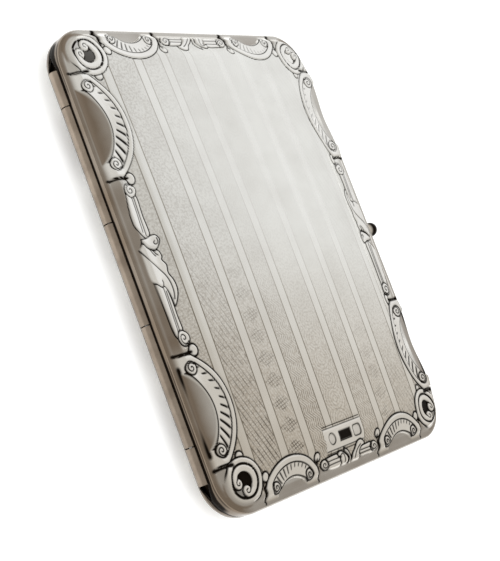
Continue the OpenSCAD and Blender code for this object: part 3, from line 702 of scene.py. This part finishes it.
def makeStrip(name, body, upward):
    # strip inside the hinge wall, hollowed round the barrel; past the barrel's ends it closes the gap
    free = hingeForm["barrel"] + hingeForm["gap"]
    left = -caseForm["halfW"] + caseForm["sheet"] - stripForm["overlap"]
    right = left + stripForm["width"]
    across = np.linspace(left, right, 12)
    shortened = np.maximum(across, hingeForm["x"] + stripForm["inside"])
    hollow = np.sqrt(free ** 2 - (across - hingeForm["x"]) ** 2)
    half, stop, height = hingeForm["half"], stripForm["stop"], stripForm["height"]
    rows = ((-half - stop, 0), (-half, 0), (-half, 1), (half, 1), (half, 0), (half + stop, 0))
    sections = []
    for y, hollowed in rows:
        xs, zs = (across, hollow) if hollowed else (shortened, 0 * across + stripForm["clear"])
        outline = np.concatenate([[(right, height), (xs[0], height)], np.stack([xs, zs], 1)])
        level = caseForm["parting"] + upward * outline[:, 1]
        sections.append(np.stack([outline[:, 0], np.full(len(outline), y), level], 1))
    n = len(sections[0])
    i = np.arange(n)
    ring = np.stack([i, (i + 1) % n, n + (i + 1) % n, n + i], 1)
    quads = np.concatenate([ring + n * k for k in range(len(rows) - 1)])
    k = np.arange(1, n - 1)
    last = n * (len(rows) - 1)
    firstEnd = np.stack([0 * k, k + 1, k], 1)
    lastEnd = np.stack([0 * k + last, last + k, last + k + 1], 1)
    tris = np.concatenate([firstEnd, lastEnd])
    if upward > 0:
        quads, tris = quads[:, ::-1], tris[:, ::-1]
    points = np.concatenate(sections)
    # painted shade: the ends past the barrel, which close the gap, are black as the gap's shade
    gapShade = 1.0 * (np.abs(points[:, 1]) > half - 0.1)
    piece = makePiece(name, points, quads, tris, body, (), {"oxideAndShade": gapShade})
    piece.data.polygons.foreach_set("use_smooth", np.zeros(len(piece.data.polygons), bool))
    return piece


frontCover = makeCover("front_cover_chased", True, "lid", "front_cover")
backCover = makeCover("back_cover_chased", False, "base", "back_cover")
frontStrip = makeStrip("front_hinge_strip", "lid", 1)
backStrip = makeStrip("back_hinge_strip", "base", -1)
print("covers made")


# push button

buttonForm = {
    "stem": 0.55,
    "flange": (0.9, 0.3),  # radius and thickness, inside the case
    "neck": 158,  # degrees from the front of the ball to its stem
    # the dark ring is painted shade, where the ball's rim turns away from the light
    "ring": (1.65, 0.5),  # dark ring round its middle: angle and width
    "pole": 0.02,  # radius at one end and angle on the ball at the other, where a flat cap closes the profile
}


def makeButton():
    # ball on a thin stem that ends in a flange inside the case
    low, high = boxOf("push_button")
    r = (high[2] - low[2]) / 2
    stem, pole, (flange, thick) = buttonForm["stem"], buttonForm["pole"], buttonForm["flange"]
    angle = np.linspace(math.radians(buttonForm["neck"]), pole, 28)
    inside = [(pole, low[0]), (flange, low[0]), (flange, low[0] + thick), (stem, low[0] + thick),
              (stem, caseForm["halfW"] + 0.05)]
    ball = np.stack([r * np.sin(angle), high[0] - r + r * np.cos(angle)], 1)
    profile = np.concatenate([inside, ball])
    origin = (0, (low[1] + high[1]) / 2, (low[2] + high[2]) / 2)
    ringAt, ringWidth = buttonForm["ring"]
    # painted shade: a dark ring round the ball
    paintedShade = np.zeros(len(profile))
    paintedShade[-len(angle):] = np.minimum(1.8 * bell((angle - ringAt) / ringWidth), 1)
    return turned("push_button_ball", profile[:, 0], profile[:, 1], origin, 0, "catch",
                  ["push_button"], paintedShade=paintedShade)


button = makeButton()


# pencil

pencilForm = {
    "reeds": 14,
    "reedDepth": 0.16,
    "collar": 0.055,  # share of the length at each end that is left plain
    "rounding": 0.1,
    "groove": 0.12,  # between a collar and the reeds
}


def makePencil():
    # reeded barrel between two turned collars
    low, high = boxOf("pencil_barrel")
    r, length = (high[0] - low[0]) / 2, high[1] - low[1]
    t = np.concatenate([[0, 0.01, 0.03, 0.05], np.linspace(0.06, 0.94, 12), [0.95, 0.97, 0.99, 1]])
    radius = np.full(len(t), r)
    radius[[0, -1]] = r - pencilForm["rounding"]
    radius[[3, -4]] = r - pencilForm["groove"]
    collar, reeds = pencilForm["collar"], pencilForm["reeds"]
    depth = np.where((t > collar) & (t < 1 - collar), pencilForm["reedDepth"], 0.0)
    origin = ((low[0] + high[0]) / 2, 0, (low[2] + high[2]) / 2)
    along = low[1] + t * length
    return turned("pencil_barrel_reeded", radius, along, origin, 1, "base", ["pencil_barrel"],
                  reeds, depth, 12 * reeds)


pencil = makePencil()


# silk boards

boards = {  # with the side that shows, up or down, and how far that side is crowned
    "back_lining": {"body": "base", "slot": "silk", "corner": 2.0, "face": 1, "crown": 0.12},
    "front_lining": {"body": "lid", "slot": "silk", "corner": 5.0, "face": -1, "crown": 0.1},
    "card_pocket": {"body": "lid", "slot": "silk", "corner": 2.0, "face": -1, "crown": 0.08},
    "pocket_ribbon": {"body": "lid", "slot": "ribbon", "corner": 0.2, "face": -1, "crown": 0.05},
}


def makeBoard(node, body, slot, corner, face, crown):
    # stiff card under silk: a plate with rolled edges, crowned a little on the face that shows
    low, high = boxOf(node)
    size, centre = (high - low) / 2, (high + low) / 2
    thick = size[2]
    # rows from the hidden face round the edge to the face that shows
    inset = np.array([0.16, 0.04, 0.0, 0.04, 0.16, 0.5, 1.0])
    level = np.array([-1, -0.8, 0, 0.5, 0.8, 0.95, 1.0]) * thick
    level[3:] -= crown * np.array([0.6, 0.9, 0.6, 0.0])
    inset = np.minimum(inset, 0.8 * min(size[0], size[1]))
    x, y = outlineGrid(size[0], size[1], corner, 1.0, inset, (40, 30, 8))
    z = np.repeat(level[:, None], x.shape[1], 1)
    points = np.stack([x, y, z * face], -1).reshape(-1, 3)
    n, rows = x.shape[1], len(inset)
    middle = np.array([[0, 0, -thick * face], [0, 0, thick * face]])
    points = np.concatenate([points, middle]) + centre
    quads, tris = ringFaces([k * n for k in range(rows)], [n] * rows, rows * n, rows * n + 1)
    if face < 0:
        quads, tris = quads[:, ::-1], tris[:, ::-1]
    piece = makePiece(node + "_silk", points, quads, tris, body, [node])
    return piece


silkPieces = {node: makeBoard(node, **form) for node, form in boards.items()}
print("button, pencil and silk made")


# materials

def linear(text):  # sRGB hex to linear colour
    parts = [int(text[i:i + 2], 16) / 255 for i in (1, 3, 5)]
    return tuple(c / 12.92 if c <= 0.04045 else ((c + 0.055) / 1.055) ** 2.4 for c in parts) + (1.0,)


def perMm(*counts):  # steps of a pattern to the millimetre, as a scale for Object coordinates
    return tuple(count / mm for count in counts)


def setInputs(node, inputs):  # links what comes from another node and sets what is a plain value
    for key, value in inputs.items():
        if isinstance(value, bpy.types.NodeSocket):
            node.id_data.links.new(value, node.inputs[key])
        else:
            node.inputs[key].default_value = value


def addNode(tree, kind, inputs=None, out=0, **settings):
    # adds one node with its settings and links, and gives back the output that is asked for
    node = tree.nodes.new("ShaderNode" + kind)
    for key, value in settings.items():
        setattr(node, key, value)
    setInputs(node, inputs or {})
    return node.outputs[out]


def newMaterial(name, values):
    # a material with its shader's plain values set; gives back its Object coordinates too
    material = bpy.data.materials.new(name)
    material.use_nodes = True
    tree = material.node_tree
    shader = tree.nodes["Principled BSDF"]
    setInputs(shader, values)
    return material, tree, shader, addNode(tree, "TexCoord", out="Object")


panels = {
    "bands": (4.1, 10.6, 17.1, 25.1),  # centres of the polished bands, each way from the middle
    "bandHalf": 0.85,
    "bandEdge": 0.1,  # width over which the cuts begin beside a band
    "ruleAway": 0.12,  # from the band's edge to the middle of the line along it
    "rule": (0.16, 0.05),  # where that line's tone begins, and where it is full
    "pitch": 0.56,  # cuts are about 0.25 mm apart on such a panel, drawn coarser so that they show
    "circleStep": 1.9,
    "zigzagStep": 1.3,
    "patchStep": 2.0,
    "patch": (13.85, 2.3, 1.6),  # middle, half width and half height of the hatched patches
    "patchEdge": (1.15, 0.85),  # shares of those halves where a patch begins, and where it is full
    "steep": (0.92, 0.4, 0.0),  # the ways across the two sets of hatching
    "level": (-0.26, 0.97, 0.0),
    "end": 40.0,  # past the wall
}


def engineTurning(tree, place):
    # five cut patterns between polished bands, as a number from 0, uncut, to 1, the bottom of a cut; with it,
    # the lines along the bands, and 1 for all that lies off the bands
    size = addNode(tree, "VectorMath", {0: place, 1: perMm(1, 1, 1)}, operation="MULTIPLY")
    split = addNode(tree, "SeparateXYZ", {0: size}).node.outputs
    x = addNode(tree, "Math", {0: split[0]}, operation="ABSOLUTE")
    circleY, zigzagY, patchY = [
        addNode(tree, "Math", {0: split[1], 1: panels[step]}, operation="PINGPONG")
        for step in ("circleStep", "zigzagStep", "patchStep")]
    circleAt = addNode(tree, "CombineXYZ", {0: x, 1: circleY})
    circleR = addNode(tree, "VectorMath", {0: circleAt}, "Value", operation="LENGTH")
    zigzag = addNode(tree, "Math", {0: x, 1: zigzagY}, operation="ADD")
    steep, level = [
        addNode(tree, "VectorMath", {0: size, 1: panels[way]}, "Value", operation="DOT_PRODUCT")
        for way in ("steep", "level")]
    wave = 2 * math.pi / panels["pitch"]
    cuts = []
    for u, scale, least in (  # what runs across the cuts, how close they are, and how narrow
        (circleR, 0.9, 0.1), (zigzag, 0.9, 0.1), (steep, 1.0, 0.2), (level, 1.0, 0.2), (steep, 0.6, 0.5),
    ):
        phase = addNode(tree, "Math", {0: u, 1: wave * scale}, operation="MULTIPLY")
        cosine = addNode(tree, "Math", {0: phase}, operation="COSINE")
        cuts.append(addNode(tree, "MapRange", {0: cosine, 1: least, 2: 1.0}))
    hatched = addNode(tree, "Math", {0: cuts[2], 1: cuts[3]}, operation="MAXIMUM")
    circles, faint, lightly = [
        addNode(tree, "Math", {0: cut, 1: share}, operation="MULTIPLY")
        for cut, share in ((cuts[0], 0.5), (cuts[2], 0.3), (hatched, 0.42))]
    lattice = addNode(tree, "Math", {0: lightly, 1: cuts[4]}, operation="MAXIMUM")
    # diamond patches in a row
    middle, patchHalfX, patchHalfY = panels["patch"]
    edge, full = panels["patchEdge"]
    offX = addNode(tree, "Math", {0: x, 1: middle}, operation="SUBTRACT")
    awayX = addNode(tree, "Math", {0: offX}, operation="ABSOLUTE")
    shareX = addNode(tree, "Math", {0: awayX, 1: patchHalfX}, operation="DIVIDE")
    shareY = addNode(tree, "Math", {0: patchY, 1: patchHalfY}, operation="DIVIDE")
    diamond = addNode(tree, "Math", {0: shareX, 1: shareY}, operation="ADD")
    inPatch = addNode(tree, "MapRange", {0: diamond, 1: edge, 2: full})
    patches = addNode(tree, "Mix", {0: inPatch, 2: faint, 3: hatched})
    # each pattern in its own zone
    zones = (0.0, *panels["bands"], panels["end"])
    parts = []
    for low, high, cut in zip(zones, zones[1:], (circles, cuts[1], patches, lattice, lightly)):
        over = addNode(tree, "Math", {0: x, 1: low}, operation="GREATER_THAN")
        under = addNode(tree, "Math", {0: x, 1: high}, operation="LESS_THAN")
        inside = addNode(tree, "Math", {0: over, 1: under}, operation="MULTIPLY")
        parts.append(addNode(tree, "Math", {0: inside, 1: cut}, operation="MULTIPLY"))
    pattern = parts[0]
    for part in parts[1:]:
        pattern = addNode(tree, "Math", {0: pattern, 1: part}, operation="ADD")
    # bare bands, with a line along each edge
    aways = []
    for band in panels["bands"]:
        off = addNode(tree, "Math", {0: x, 1: band}, operation="SUBTRACT")
        aways.append(addNode(tree, "Math", {0: off}, operation="ABSOLUTE"))
    nearest = aways[0]
    for away in aways[1:]:
        nearest = addNode(tree, "Math", {0: nearest, 1: away}, operation="MINIMUM")
    bandHalf = panels["bandHalf"]
    begins, full = panels["rule"]
    offBand = addNode(tree, "MapRange", {0: nearest, 1: bandHalf, 2: bandHalf + panels["bandEdge"]})
    cut = addNode(tree, "Math", {0: pattern, 1: offBand}, operation="MULTIPLY")
    rule = addNode(tree, "Math", {0: nearest, 1: bandHalf + panels["ruleAway"]}, operation="SUBTRACT")
    ruleAway = addNode(tree, "Math", {0: rule}, operation="ABSOLUTE")
    return cut, addNode(tree, "MapRange", {0: ruleAway, 1: begins, 2: full}), offBand


silverTones = {
    "panel": "#E8E8E4",
    "crown": "#ECEBE7",
    # brown of the walls and half-moons: tarnish from handling, and painted shade
    "tarnishAndShade": "#7A6D5F",
    "film": "#A48A60",
    "cut": "#453B30",
    "rule": "#7A7265",
    # black of oxide in the cuts, and of the painted shade laid with it in creases and gaps
    "oxideAndShade": "#17110B",
}
panelWear = {
    "thumb": (14.0, 20.0, 0.0),  # middle of the place that the thumb rubs, in millimetres
    "thumbReach": (12.0, 54.0),  # bare within the first distance, untouched past the second
    "haze": 0.12,  # darkest of the mottled tarnish
    "grain": 0.28,  # darkest of the specks between the bands
    "grey": (6.0, -26.0, 0.1),  # greyer towards the hinge: from, to and how much
    "filmWay": (0.18, 1.0, 0.0),  # the way along which a brown film thickens, and from where to where
    "film": (8.0, -45.0),
    "filmShare": (0.36, 0.41),  # on the bands, and between them
    "filmOnForms": 0.7,  # thinner on the chasing
    "cutWay": (0.6, 1.1, 0.0),  # the same for the cuts, which are worn off towards the head
    "cuts": (-8.0, -50.0),
    "cutDark": (0.06, 0.95),
    # the black of oxide, and of the painted shade laid with it, begins and ends at these values
    "black": (0.25, 0.8),  # oxide where it begins to show, and where it is full
    "rough": (0.16, 0.3, 0.6),  # on the bands, between them, and on oxide
    "cutDepth": 0.03,  # drawn by the bump
}


def chasedSilver():
    # sterling silver, stamped, chased and engine turned: bright rubbed crowns, black oxide left in the cuts
    # with painted shade in creases and gaps, a silky grey panel where the cuts scatter the light, and walls
    # yellowed by handling, with painted shade over them
    material, tree, shader, place = newMaterial("sterling silver chased and engine turned", {"Metallic": 1.0})
    tones = {key: linear(tone) for key, tone in silverTones.items()}
    oxideAndShade, plain, warm, rubbed = [
        addNode(tree, "Attribute", out="Fac", attribute_name=key)
        for key in ("oxideAndShade", "plain", "warm", "rubbed")]
    turnedHere = addNode(tree, "Math", {0: 1.0, 1: plain}, operation="SUBTRACT")
    cutHere, ruleHere, offHere = [
        addNode(tree, "Math", {0: part, 1: turnedHere}, operation="MULTIPLY")
        for part in engineTurning(tree, place)]
    # worn smooth round the place that the thumb rubs
    near, far = panelWear["thumbReach"]
    flat = addNode(tree, "VectorMath", {0: place, 1: perMm(1, 1, 0)}, operation="MULTIPLY")
    away = addNode(tree, "VectorMath", {0: flat, 1: panelWear["thumb"]}, "Value", operation="DISTANCE")
    kept = addNode(tree, "MapRange", {0: away, 1: near, 2: far}, interpolation_type="SMOOTHSTEP")
    # patches of tarnish about 7 mm wide, specks of 0.4 mm between the bands, and grey towards the hinge
    mottle = addNode(tree, "TexNoise", {"Vector": place, "Scale": 0.14 / mm, "Detail": 4.0}, "Fac")
    haze = addNode(tree, "MapRange", {0: mottle, 1: 0.35, 2: 0.75, 3: 0.0, 4: panelWear["haze"]})
    speck = addNode(tree, "TexNoise", {"Vector": place, "Scale": 2.6 / mm, "Detail": 2.0}, "Fac")
    grain = addNode(tree, "MapRange", {0: speck, 1: 0.43, 2: 0.62, 3: 0.0, 4: panelWear["grain"]})
    grainHere = addNode(tree, "Math", {0: grain, 1: offHere}, operation="MULTIPLY")
    grainKept = addNode(tree, "Math", {0: grainHere, 1: kept}, operation="MULTIPLY")
    dull = addNode(tree, "Math", {0: haze, 1: grainKept}, operation="ADD")
    greyFrom, greyTo, greyMost = panelWear["grey"]
    across = addNode(tree, "SeparateXYZ", {0: flat})
    grey = addNode(tree, "MapRange", {0: across, 1: greyFrom, 2: greyTo, 3: 0.0, 4: greyMost})
    greyHere = addNode(tree, "Math", {0: grey, 1: turnedHere}, operation="MULTIPLY")
    duller = addNode(tree, "Math", {0: dull, 1: greyHere}, operation="ADD")
    # tarnish and painted shade on the walls and half-moons, with the haze, specks and grey added
    tint = addNode(tree, "Math", {0: warm, 1: duller}, operation="ADD", use_clamp=True)
    # the foot of the panel keeps a brown film and dark cuts, the head is rubbed clean
    filmFrom, filmTo = panelWear["film"]
    onBands, between = panelWear["filmShare"]
    along = addNode(tree, "VectorMath", {0: place, 1: perMm(*panelWear["filmWay"])}, "Value",
                    operation="DOT_PRODUCT")
    film = addNode(tree, "MapRange", {0: along, 1: filmFrom, 2: filmTo}, interpolation_type="SMOOTHSTEP")
    filmShare = addNode(tree, "MapRange", {0: offHere, 3: onBands, 4: between})
    filmHere = addNode(tree, "Math", {0: film, 1: filmShare}, operation="MULTIPLY")
    onForms = addNode(tree, "Math", {0: rubbed, 1: panelWear["filmOnForms"]}, operation="MULTIPLY")
    filmRoom = addNode(tree, "Math", {0: turnedHere, 1: onForms}, operation="MAXIMUM")
    filmKept = addNode(tree, "Math", {0: filmHere, 1: filmRoom}, operation="MULTIPLY")
    cutsFrom, cutsTo = panelWear["cuts"]
    palest, darkest = panelWear["cutDark"]
    lowest = addNode(tree, "VectorMath", {0: place, 1: perMm(*panelWear["cutWay"])}, "Value",
                     operation="DOT_PRODUCT")
    sharp = addNode(tree, "MapRange", {0: lowest, 1: cutsFrom, 2: cutsTo})
    cutDark = addNode(tree, "MapRange", {0: sharp, 3: palest, 4: darkest})
    # worn off in patches of about 1.4 mm
    wear = addNode(tree, "TexNoise", {"Vector": place, "Scale": 0.7 / mm, "Detail": 3.0}, "Fac")
    unworn = addNode(tree, "MapRange", {0: wear, 1: 0.35, 2: 0.6, 3: 0.35, 4: 1.0})
    cutLeft = addNode(tree, "Math", {0: cutHere, 1: unworn}, operation="MULTIPLY")
    cutTone = addNode(tree, "Math", {0: cutLeft, 1: cutDark}, operation="MULTIPLY")
    ruleKept = addNode(tree, "Math", {0: ruleHere, 1: kept}, operation="MULTIPLY")
    shows, full = panelWear["black"]
    black = addNode(tree, "MapRange", {0: oxideAndShade, 1: shows, 2: full})
    colour = addNode(tree, "Mix", {0: rubbed, 6: tones["panel"], 7: tones["crown"]}, 2, data_type="RGBA")
    for share, tone in (
        (tint, "tarnishAndShade"), (filmKept, "film"), (cutTone, "cut"), (ruleKept, "rule"), (black, "oxideAndShade"),
    ):
        colour = addNode(tree, "Mix", {0: share, 6: colour, 7: tones[tone]}, 2, data_type="RGBA")
    bandRough, turnedRough, oxideRough = panelWear["rough"]
    rough = addNode(tree, "MapRange", {0: offHere, 3: bandRough, 4: turnedRough})
    rougher = addNode(tree, "Mix", {0: black, 2: rough, 3: oxideRough})
    cutDeep = addNode(tree, "Math", {0: cutHere, 1: sharp}, operation="MULTIPLY")
    deep = addNode(tree, "Math", {0: cutDeep, 1: ruleKept}, operation="MAXIMUM")
    bump = addNode(tree, "Bump", {"Height": deep, "Strength": 1.0, "Distance": panelWear["cutDepth"] * mm},
                   invert=True)
    setInputs(shader, {"Base Color": colour, "Roughness": rougher, "Normal": bump})
    return material


# hinge barrel darker towards the foot, and painted shade across it towards the cover, beside the gap
hingeShade = {
    "foot": (25.0, -45.0),  # thickens along the hinge towards the foot
    "footShare": 0.3,
    "inner": (-0.2, 0.6),  # and across it, from the barrel's middle towards the cover
}


def plainSilver(name, bright, film, roughness, shadeMost):
    # sterling silver, drawn or turned and hand polished: bright, with fine rubbing marks and a warm film in
    # patches of about 4 mm, and where it is set, a darker hinge: towards the foot, and painted shade across
    # the barrel towards the cover
    material, tree, shader, place = newMaterial(name, {"Metallic": 1.0})
    patches = addNode(tree, "TexNoise", {"Vector": place, "Scale": 0.26 / mm, "Detail": 5.0}, "Fac")
    share = addNode(tree, "MapRange", {0: patches, 1: 0.3, 2: 0.75})
    filmed = addNode(tree, "Mix", {0: share, 6: linear(bright), 7: linear(film)}, 2, data_type="RGBA")
    split = addNode(tree, "SeparateXYZ", {0: place}).node.outputs
    footFrom, footTo = [at * mm for at in hingeShade["foot"]]
    innerFrom, innerTo = [(hingeForm["x"] + at) * mm for at in hingeShade["inner"]]
    low = addNode(tree, "MapRange",
                  {0: split[1], 1: footFrom, 2: footTo, 3: 0.0, 4: hingeShade["footShare"] * shadeMost})
    inner = addNode(tree, "MapRange", {0: split[0], 1: innerFrom, 2: innerTo, 3: 0.0, 4: shadeMost})
    shadeHere = addNode(tree, "Math", {0: low, 1: inner}, operation="ADD", use_clamp=True)
    oxideAndShade = addNode(tree, "Attribute", out="Fac", attribute_name="oxideAndShade")
    black = addNode(tree, "Math", {0: oxideAndShade, 1: shadeHere}, operation="MAXIMUM")
    colour = addNode(tree, "Mix", {0: black, 6: filmed, 7: linear(silverTones["oxideAndShade"])}, 2, data_type="RGBA")
    rubbed = addNode(tree, "Mapping", {0: place, 3: perMm(0.4, 4, 0.4)})
    marks = addNode(tree, "TexNoise", {"Vector": rubbed, "Scale": 1.0, "Detail": 2.0}, "Fac")
    rough = addNode(tree, "MapRange", {0: marks, 3: roughness, 4: roughness + 0.12})
    setInputs(shader, {"Base Color": colour, "Roughness": rough})
    return material


def springSteel():
    # rolled spring steel: grey, with fine drawn lines along the strip, about 6 to the millimetre
    material, tree, shader, place = newMaterial("spring steel rolled", {"Metallic": 1.0})
    drawn = addNode(tree, "Mapping", {0: place, 3: perMm(6, 0.2, 6)})
    lines = addNode(tree, "TexNoise", {"Vector": drawn, "Scale": 1.0, "Detail": 3.0}, "Fac")
    dark, light = linear("#8B8D90"), linear("#B9BABC")
    colour = addNode(tree, "Mix", {0: lines, 6: dark, 7: light}, 2, data_type="RGBA")
    rough = addNode(tree, "MapRange", {0: lines, 3: 0.25, 4: 0.45})
    setInputs(shader, {"Base Color": colour, "Roughness": rough})
    return material


weave = {
    "waveStep": 0.314,  # metres between the bands of a wave texture at a scale of 1
    "silkRib": 0.3 * mm,
    "ribbonRib": 0.6 * mm,
    "waterlines": 58.0,  # radians of waves over the cloud's range, so about nine dark lines
}


def wateredSilk(name, dark, light, grain):
    # moire silk on card: fine ribs across, pressed into wandering light and dark waterlines
    material, tree, shader, place = newMaterial(name, {"Roughness": 0.45, "Sheen Weight": 0.35})
    drift = addNode(tree, "Mapping", {0: place, 3: perMm(*grain)})
    cloud = addNode(tree, "TexNoise", {"Vector": drift, "Scale": 1.0, "Detail": 1.5}, "Fac")
    bands = addNode(tree, "Math", {0: cloud, 1: weave["waterlines"]}, operation="MULTIPLY")
    water = addNode(tree, "Math", {0: bands}, operation="SINE")
    share = addNode(tree, "MapRange", {0: water, 1: -1.0, 2: 1.0})
    colour = addNode(tree, "Mix", {0: share, 6: linear(dark), 7: linear(light)}, 2, data_type="RGBA")
    scale = weave["waveStep"] / weave["silkRib"]
    ribs = addNode(tree, "TexWave", {"Vector": place, "Scale": scale}, "Fac", bands_direction="Y")
    bump = addNode(tree, "Bump", {"Height": ribs, "Strength": 0.4, "Distance": 0.08 * mm})
    setInputs(shader, {"Base Color": colour, "Normal": bump})
    return material


def ribbedRibbon():
    # grosgrain silk ribbon: strong cross ribs and a soft gold sheen
    material, tree, shader, place = newMaterial("grosgrain silk ribbon", {
        "Roughness": 0.5, "Sheen Weight": 0.3})
    scale = weave["waveStep"] / weave["ribbonRib"]
    ribs = addNode(tree, "TexWave", {"Vector": place, "Scale": scale}, "Fac", bands_direction="X")
    # painted shade: darker in the grooves between the ribs, lighter on their tops
    dark, light = linear("#7A5A2A"), linear("#C09A5A")
    colour = addNode(tree, "Mix", {0: ribs, 6: dark, 7: light}, 2, data_type="RGBA")
    bump = addNode(tree, "Bump", {"Height": ribs, "Strength": 0.5, "Distance": 0.1 * mm})
    setInputs(shader, {"Base Color": colour, "Normal": bump})
    return material


def ivorine():
    # celluloid pressed to look like ivory: cream, with long faint grain lines, about 3 to the millimetre,
    # a satin face, and some light let through
    material, tree, shader, place = newMaterial("ivorine celluloid pressed", {
        "IOR": 1.5, "Subsurface Weight": 0.5, "Subsurface Scale": 2 * mm,
        "Subsurface Radius": (1.0, 0.9, 0.7)})
    grain = addNode(tree, "Mapping", {0: place, 3: perMm(2.6, 0.04, 2.6)})
    streak = addNode(tree, "TexNoise", {"Vector": grain, "Scale": 1.0, "Detail": 4.0}, "Fac")
    dark, light = linear("#EADFC2"), linear("#F4ECD9")
    colour = addNode(tree, "Mix", {0: streak, 6: dark, 7: light}, 2, data_type="RGBA")
    rough = addNode(tree, "MapRange", {0: streak, 3: 0.28, 4: 0.42})
    setInputs(shader, {"Base Color": colour, "Roughness": rough})
    return material


def graphite():
    # pencil lead, extruded and sharpened: dark grey with a dull metal gleam in specks of about 0.25 mm
    material, tree, shader, place = newMaterial("graphite lead extruded", {"Metallic": 0.4})
    specks = addNode(tree, "TexNoise", {"Vector": place, "Scale": 4 / mm, "Detail": 2.0}, "Fac")
    dark, light = linear("#2A2A2C"), linear("#4A4A4D")
    colour = addNode(tree, "Mix", {0: specks, 6: dark, 7: light}, 2, data_type="RGBA")
    rough = addNode(tree, "MapRange", {0: specks, 3: 0.4, 4: 0.6})
    setInputs(shader, {"Base Color": colour, "Roughness": rough})
    return material


finishes = {
    "chased": chasedSilver(),
    "hinge": plainSilver("sterling silver drawn with warm film", "#A79A8C", "#85786B", 0.28, 0.55),
    "polished": plainSilver("sterling silver turned and polished", "#EFECE5", "#D3C6B4", 0.08, 0.0),
    "steel": springSteel(),
    "silk": wateredSilk("watered silk on card", "#5E252C", "#78373D", (0.26, 0.045, 0.045)),
    "pocketSilk": wateredSilk("watered silk cut across", "#87464C", "#A8686C", (0.045, 0.26, 0.045)),
    "ribbon": ribbedRibbon(),
    "ivorine": ivorine(),
    "graphite": graphite(),
}
hingeNodes = ("back_knuckles", "front_knuckles")


def dress(piece, finish):
    if piece.material_slots:
        for slot in piece.material_slots:
            slot.material = finishes[finish]
    else:
        piece.data.materials.append(finishes[finish])


for part in frame["record"]["subparts"]:
    node, slot = part["node"], part["material_slot"]
    plain = "polished" if slot == "silver" else slot
    dress(frame["nodes"][node], "hinge" if node in hingeNodes else plain)
for cover in (frontCover, backCover):
    dress(cover, "chased")
for strip in (frontStrip, backStrip):
    dress(strip, "hinge")
for piece in (button, pencil):
    dress(piece, "polished")
for node, piece in silkPieces.items():
    dress(piece, "pocketSilk" if node == "card_pocket" else boards[node]["slot"])
print("materials set")


# floor and light

def makeFloor():
    # pale paper sheet under the case, with fibres of about 1 mm
    half = 1.5
    mesh = bpy.data.meshes.new("floor")
    corners = [(-half, -half, 0), (half, -half, 0), (half, half, 0), (-half, half, 0)]
    mesh.from_pydata(corners, [], [(0, 1, 2, 3)])
    floor = bpy.data.objects.new("floor", mesh)
    bpy.context.collection.objects.link(floor)
    material, tree, shader, place = newMaterial("white paper matt", {
        "Roughness": 0.9, "Specular IOR Level": 0.1, "Emission Strength": 0.2})
    fibre = addNode(tree, "TexNoise", {"Vector": place, "Scale": 0.9 / mm, "Detail": 3.0}, "Fac")
    dark, light = linear("#F4F4F2"), linear("#FAFAF9")
    colour = addNode(tree, "Mix", {0: fibre, 6: dark, 7: light}, 2, data_type="RGBA")
    setInputs(shader, {"Base Color": colour})
    mesh.materials.append(material)


overhead = {
    "place": (-0.45, -0.25, 1.0),
    "aim": (0.0, 0.0, 0.0),
    "size": 1.4,
    "watts": 11.5,
    "hue": "#F4F8FF",
}
surround = {
    "glow": (0.74, 0.5, 0.45),  # the way to the middle of a broad soft glow, towards the catch and the head
    "reach": (0.72, 0.995),  # cosines of the angles where it begins, and where it is full
    "grey": "#E6E4E0",
    "white": "#FFFFFF",
}


def makeLight():
    place, aim = Vector(overhead["place"]), Vector(overhead["aim"])
    data = bpy.data.lights.new("overhead", "AREA")
    data.size = overhead["size"]
    data.energy = overhead["watts"]
    data.color = linear(overhead["hue"])[:3]
    lamp = bpy.data.objects.new("overhead", data)
    lamp.location = place
    lamp.visible_glossy = False  # the metal sees only the soft surround
    lamp.rotation_euler = (aim - place).to_track_quat("-Z", "Y").to_euler()
    bpy.context.collection.objects.link(lamp)
    world = bpy.data.worlds.new("soft studio")
    world.use_nodes = True
    tree = world.node_tree
    begins, full = surround["reach"]
    direction = addNode(tree, "TexCoord", out="Generated")
    glow = Vector(surround["glow"]).normalized()
    facing = addNode(tree, "VectorMath", {0: direction, 1: glow}, "Value", operation="DOT_PRODUCT")
    share = addNode(tree, "MapRange", {0: facing, 1: begins, 2: full}, interpolation_type="SMOOTHSTEP")
    grey, white = linear(surround["grey"]), linear(surround["white"])
    tone = addNode(tree, "Mix", {0: share, 6: grey, 7: white}, 2, data_type="RGBA")
    setInputs(tree.nodes["Background"], {"Color": tone})
    bpy.context.scene.world = world


makeFloor()
makeLight()
bpy.context.scene.view_settings.view_transform = "Standard"
print("floor and light set")
